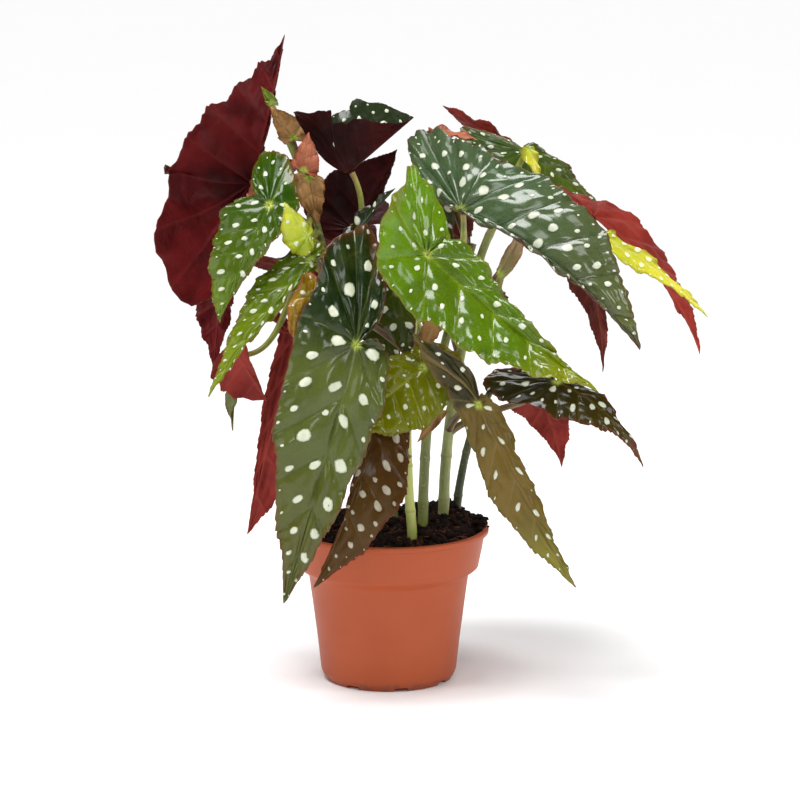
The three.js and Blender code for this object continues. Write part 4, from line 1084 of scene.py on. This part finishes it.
def add_stalk(sheet, leaf):
    """A leaf's stalk, a little stouter at both ends."""
    line = stalk_line(Blade(leaf))
    share = np.linspace(0, 1, len(line))
    radii = STALK_AT_CANE + (STALK_AT_BLADE - STALK_AT_CANE) * share
    at_cane = np.exp(-(share / FLARE_LENGTH) ** 2)
    at_blade = np.exp(-((1 - share) / FLARE_LENGTH) ** 2)
    radii = radii * (1 + FLARE_AT_CANE * at_cane + FLARE_AT_BLADE * at_blade)
    points, quads = tube(line, radii, STALK_SIDES)
    way = np.concatenate((np.repeat(share, STALK_SIDES), (0, 1)))
    sheet.add(points, quads, 2 if leaf.pale_stalk else 1, way=way)


def make_cane(name, materials):
    """A cane with its rings, and the stalks of all the leaves that it bears."""
    cane = CANES[name]
    line, length = even_line(cane_line(cane), CANE_STEPS)
    share = np.linspace(0, 1, len(line))
    from_node = np.abs((share * length / NODE_SPACING) % 1 - 0.5) * 2
    radii = cane["radius"] * (1 - CANE_TAPER * share) * (1 + NODE_SWELLING * from_node ** 8)
    radii = radii * (1 + NODE_RING * np.exp(-((1 - from_node) / NODE_RING_WIDTH) ** 2))
    points, quads = tube(line, radii, CANE_SIDES)
    sheet = Sheet()
    sheet.add(points, quads, 0, node=np.concatenate((np.repeat(from_node, CANE_SIDES), (0, 0))))
    for leaf in LEAVES:
        if leaf.cane == name:
            add_stalk(sheet, leaf)
    return sheet.build("stem_" + name, materials, "cane_" + name)


def stem_material(name, young, old):
    shader = Shader(name, Coat_Weight=0.12, Coat_Roughness=0.3)
    colour = shader.mix(shader.patches(0.35, 0.68, 120, 4, 0.6, (1, 1, 0.22)), young, old)
    colour = shader.tint(colour, shader.patches(0.62, 0.74, 620, 2, 0.6), 0.5, (196, 190, 140))
    colour = shader.tint(colour, shader.step(shader.attribute("node"), 0.9, 1), 0.35, (104, 84, 40))
    shader.bump(shader.noise(500, 3), 0.3, 0.15)
    return shader.finish(colour, 0.36, 0.55, 90)


def stalk_material(name, young, old):
    shader = Shader(name, Coat_Weight=0.15, Coat_Roughness=0.3)
    colour = shader.mix(shader.patches(0.36, 0.66, 90, 4, 0.6), young, old)
    colour = shader.tint(colour, shader.step(shader.attribute("way"), 0.8, 1), 0.5, (150, 96, 60))
    shader.bump(shader.noise(700, 3), 0.25, 0.12)
    return shader.finish(colour, 0.32, 0.5, 90)


# Pot
def pot_profile():
    """Radius and height from the middle of the underside, up the outside and down the inside."""
    base, drain, lip_foot = POT_BASE_RADIUS, DRAIN_HEIGHT, POT_HEIGHT - LIP_HEIGHT
    (heel, heel_z), (shoulder, shoulder_z), (collar, collar_z) = POT_HEEL, POT_SHOULDER, COLLAR_FOOT
    rim, rounding = LIP_RADIUS - LIP_ROUND, LIP_ROUND
    profile = [
        (0, 0), (DRAIN_INSIDE - 0.1, 0), (DRAIN_INSIDE, 0), (base - 0.4, 0), (base, 0.3),
        (base + 1.1, drain), (base + 1.3, drain + 0.1),
        (heel - 0.3, heel_z - 0.6), (heel, heel_z), (heel + 0.2, heel_z + 0.8), *POT_BODY,
        (shoulder - 0.1, shoulder_z - 1), (shoulder + 0.3, shoulder_z), (shoulder + 1.2, shoulder_z + 1),
        (collar - 1.2, collar_z - 1.2), (collar - 0.2, collar_z - 0.3), (collar, collar_z + 0.6),
        COLLAR_MIDDLE, (COLLAR_TOP_RADIUS - 0.1, lip_foot - 0.5), (COLLAR_TOP_RADIUS + 0.5, lip_foot - 0.05),
        (rim, lip_foot + 0.05),
    ]
    for height, start in ((lip_foot + rounding, -90), (POT_HEIGHT - rounding, 0)):
        for turn in range(start, start + 91, 30):
            angle = math.radians(turn)
            profile.append((rim + rounding * math.cos(angle), height + rounding * math.sin(angle)))
    mouth = COLLAR_TOP_RADIUS - POT_WALL
    profile += [
        (mouth + 0.5, POT_HEIGHT), (mouth, POT_HEIGHT - 0.5), (collar - POT_WALL, collar_z + POT_WALL),
        (shoulder - POT_WALL, shoulder_z + POT_WALL), (heel - POT_WALL, heel_z),
        (base - POT_WALL, POT_FLOOR), (0, POT_FLOOR),
    ]
    return np.array(profile, float)


def make_pot():
    """The turned pot, a touch out of round, with its drain slots cut at the foot."""
    profile = pot_profile()
    turns = circle(POT_SIDES)
    radius, height = (np.repeat(profile[:, axis:axis + 1], POT_SIDES, 1) for axis in (0, 1))
    pitch = 2 * np.pi / DRAIN_COUNT
    from_slot = (turns - DRAIN_TURN + np.pi / DRAIN_COUNT) % pitch - np.pi / DRAIN_COUNT
    height[DRAIN_ROWS, np.abs(from_slot) * POT_BASE_RADIUS < DRAIN_WIDTH / 2] = DRAIN_HEIGHT
    radius *= 1 + OUT_OF_ROUND * np.sin(2 * turns + 0.6) * np.clip(height / POT_HEIGHT, 0, 1)
    points, quads = turned(radius * np.cos(turns), radius * np.sin(turns), height)
    sheet = Sheet()
    sheet.add(points, quads, 0)
    piece = sheet.build("pot_shell", [pot_material()], "pot")
    piece.data.set_sharp_from_angle(angle=math.radians(SHARP_EDGE))


def pot_material():
    shader = Shader("pot_plastic", Specular_IOR_Level=0.35)
    colour = shader.mix(shader.patches(0.3, 0.75, 16, 5, 0.6), (162, 70, 31), (170, 78, 37))
    bands = shader.patches(0.45, 0.7, 40, 3, 0.5, (0.15, 0.15, 3))
    colour = shader.tint(colour, bands, 0.18, (166, 76, 46))
    height = shader.add("ShaderNodeSeparateXYZ", {0: shader.place()}).outputs["Z"]
    dust = shader.times(shader.step(height, DUST_HEIGHT * MM, 0), shader.patches(0.45, 0.68, 170, 4, 0.7))
    colour = shader.tint(colour, dust, 0.8, (92, 62, 46))
    colour = shader.tint(colour, shader.patches(0.68, 0.76, 420, 3, 0.7), 0.3, (120, 76, 54))
    shader.bump(shader.noise(900, 3, 0.6), 0.12, 0.12)
    return shader.finish(colour, 0.42, 0.56, 50, 3)


# Soil
def waves(x, y):
    """Smooth rolling heights from -1 to 1, finer with each octave."""
    total = np.zeros_like(x)
    weight, rate, sum_weight = 1.0, WAVE_RATE, 0.0
    chance = np.random.default_rng(WAVE_SEED)
    for _ in range(WAVE_OCTAVES):
        layer = np.zeros_like(x)
        for _ in range(WAVES_TO_OCTAVE):
            turn, shift = chance.random(2) * 2 * np.pi
            layer += np.sin((x * np.cos(turn) + y * np.sin(turn)) * rate * 2 * np.pi + shift)
        total += layer / WAVES_TO_OCTAVE * weight
        sum_weight += weight
        weight *= WAVE_FADE
        rate *= WAVE_SHRINK
    return total / sum_weight * 2


def soil_height(x, y):
    """The height of the soil's top, in millimetres: a mound, heaped at the back and the right."""
    share = np.clip(np.hypot(x, y) / SOIL_RADIUS, 0, 1)
    (heap_x, heap_y), (reach_x, reach_y) = HEAP_PLACE, HEAP_REACH
    heap = HEAP_HEIGHT * np.exp(-(((x - heap_x) / reach_x) ** 2 + ((y - heap_y) / reach_y) ** 2))
    heap = heap + RISE_HEIGHT * np.exp(-((y - RISE_PLACE) / RISE_REACH) ** 2)
    edge = SOIL_EDGE_HEIGHT + SOIL_MOUND * (1 - share ** 2)
    heap = heap * (1 - HEAP_FADE * share ** 8)
    return edge + heap + WAVE_HEIGHT * waves(x, y) * (1 - WAVE_RIM_FADE * share ** 6)


def pick(chance, sizes, power=1):
    """A random size, from the least one up; the higher the power, the more are small."""
    least, spread = sizes
    return least + spread * chance.random() ** power


def soil_spot(chance, share):
    """A random place on the soil, within this share of its radius."""
    turn, reach = chance.random() * 2 * np.pi, SOIL_RADIUS * chance.random() ** 0.5 * share
    return reach * math.cos(turn), reach * math.sin(turn)


def height_at(x, y):
    return float(soil_height(np.array([x]), np.array([y]))[0])


def lump(chance, squash):
    """A small angular crumb: points and triangles."""
    golden = (1 + 5 ** 0.5) / 2
    corners = np.array([
        (-1, golden, 0), (1, golden, 0), (-1, -golden, 0), (1, -golden, 0),
        (0, -1, golden), (0, 1, golden), (0, -1, -golden), (0, 1, -golden),
        (golden, 0, -1), (golden, 0, 1), (-golden, 0, -1), (-golden, 0, 1),
    ])
    corners = corners / np.linalg.norm(corners[0]) * (0.7 + 0.6 * chance.random((12, 1)))
    spin, _ = np.linalg.qr(chance.normal(size=(3, 3)))
    stretch = np.array((1, 0.65 + 0.35 * chance.random(), squash))
    faces = [(0, 11, 5), (0, 5, 1), (0, 1, 7), (0, 7, 10), (0, 10, 11), (1, 5, 9), (5, 11, 4), (11, 10, 2),
             (10, 7, 6), (7, 1, 8), (3, 9, 4), (3, 4, 2), (3, 2, 6), (3, 6, 8), (3, 8, 9), (4, 9, 5),
             (2, 4, 11), (6, 2, 10), (8, 6, 7), (9, 8, 1)]
    return (corners @ spin) * stretch, faces


def add_crumb(sheet, chance, place, size, squash):
    points, faces = lump(chance, squash)
    sheet.add(points * size + place, faces, 0, shade=chance.random())


def add_crumbs(sheet, chance):
    """Crumbs all over the soil, and some spilt in heaps on the rim."""
    for _ in range(CRUMBS):
        x, y = soil_spot(chance, CRUMB_SPREAD)
        size = pick(chance, CRUMB_SIZE, 4)
        add_crumb(sheet, chance, np.array((x, y, height_at(x, y) + 0.2 * size)), size, 0.8)
    for _ in range(RIM_CRUMBS):
        turn = math.radians(chance.choice(RIM_HEAPS) + RIM_HEAP_SPAN * (chance.random() - 0.5))
        reach = pick(chance, RIM_REACH)
        size = pick(chance, RIM_CRUMB_SIZE, 2)
        place = np.array((reach * math.cos(turn), reach * math.sin(turn), POT_HEIGHT + 0.5 * size))
        add_crumb(sheet, chance, place, size, 0.6)


def add_fibres(sheet, chance):
    """Thin bent strands lying on the soil."""
    share = np.linspace(-0.5, 0.5, FIBRE_STEPS)
    for _ in range(FIBRES):
        x, y = soil_spot(chance, BITS_SPREAD)
        way = chance.random() * 2 * np.pi
        length = pick(chance, FIBRE_LENGTH, 2)
        x = x + length * share * math.cos(way) + FIBRE_BOW * share ** 2 * math.sin(way) * length
        y = y + length * share * math.sin(way) - FIBRE_BOW * share ** 2 * math.cos(way) * length
        inside = np.minimum(1, SOIL_RADIUS * 0.98 / np.maximum(np.hypot(x, y), 1))
        x, y = x * inside, y * inside
        z = soil_height(x, y) + 0.5 + 0.8 * chance.random() * (1 - (2 * share) ** 2)
        line = np.stack((x, y, z), -1)
        if np.linalg.norm(np.diff(line, axis=0), axis=1).min() < 0.05:
            continue
        points, quads = tube(line, np.full(FIBRE_STEPS, pick(chance, FIBRE_RADIUS)), FIBRE_SIDES)
        sheet.add(points, quads, 1, shade=chance.random())


def add_chips(sheet, chance):
    """Flat chips of bark, half sunk in the soil."""
    for _ in range(CHIPS):
        x, y = soil_spot(chance, BITS_SPREAD)
        points, faces = lump(chance, 0.3)
        points = points * np.array((pick(chance, CHIP_LENGTH), pick(chance, CHIP_WIDTH), 0.9))
        spin = chance.random() * 2 * np.pi
        cos, sin = math.cos(spin), math.sin(spin)
        flat = points[:, :2] @ np.array(((cos, sin), (-sin, cos)))
        points = np.column_stack((flat, points[:, 2] + 0.25 * points[:, 0] * (chance.random() - 0.5)))
        sheet.add(points + (x, y, height_at(x, y) + 0.3), faces, 1, shade=chance.random())


def make_soil():
    """The mounded compost with its crumbs, fibres and chips."""
    chance = np.random.default_rng(SOIL_SEED)
    reach = (np.arange(SOIL_RINGS + 1) / SOIL_RINGS) ** 0.75 * SOIL_RADIUS
    reach, turn = np.meshgrid(reach, circle(SOIL_TURNS), indexing="ij")
    x, y = reach * np.cos(turn), reach * np.sin(turn)
    points, quads = turned(x, y, soil_height(x, y))
    sheet = Sheet()
    sheet.add(points, np.roll(quads[:, ::-1], 1, axis=1), 0, shade=0.4)
    add_crumbs(sheet, chance)
    add_fibres(sheet, chance)
    add_chips(sheet, chance)
    materials = [soil_material("soil_crumbs", (8, 3, 1), (34, 18, 10)),
                 soil_material("soil_bits", (52, 28, 18), (122, 78, 52))]
    sheet.build("potting_soil", materials, "soil")


def soil_material(name, dark, light):
    shader = Shader(name, Specular_IOR_Level=0.15)
    colour = shader.mix(shader.patches(0.35, 0.75, 330, 5, 0.7), dark, light)
    colour = shader.tint(colour, shader.attribute("shade"), 0.45, light)
    colour = shader.tint(colour, shader.patches(0.7, 0.76, 1500, 2, 0.6), 0.35, (96, 74, 56))
    shader.bump(shader.noise(1100, 4, 0.7), 0.7, 0.6)
    return shader.finish(colour, 0.72, 0.95, 400)


def make_floor():
    mesh = bpy.data.meshes.new("floor")
    corners = [(x * FLOOR_SIZE, y * FLOOR_SIZE, 0) for x, y in ((-1, -1), (1, -1), (1, 1), (-1, 1))]
    mesh.from_pydata(corners, [], [(0, 1, 2, 3)])
    shader = Shader("floor_white")
    colour = shader.mix(shader.noise(3, 2), (255, 255, 255), (254, 254, 254))
    mesh.materials.append(shader.finish(colour, 0.8, 0.9, 4))
    add_object("floor", mesh)


make_camera()
make_lights()
make_world()
make_floor()
make_pot()
make_soil()
stalks = [stalk_material("stalk_" + name, *shades) for name, shades in STALK_SHADES.items()]
for name, cane in CANES.items():
    make_cane(name, [stem_material("stem_" + name, *cane["shades"])] + stalks)
materials = {name: [leaf_top(name), leaf_under(name), leaf_dots(name)] for name in LOOKS}
for leaf in LEAVES:
    make_leaf(leaf, materials[leaf.look])
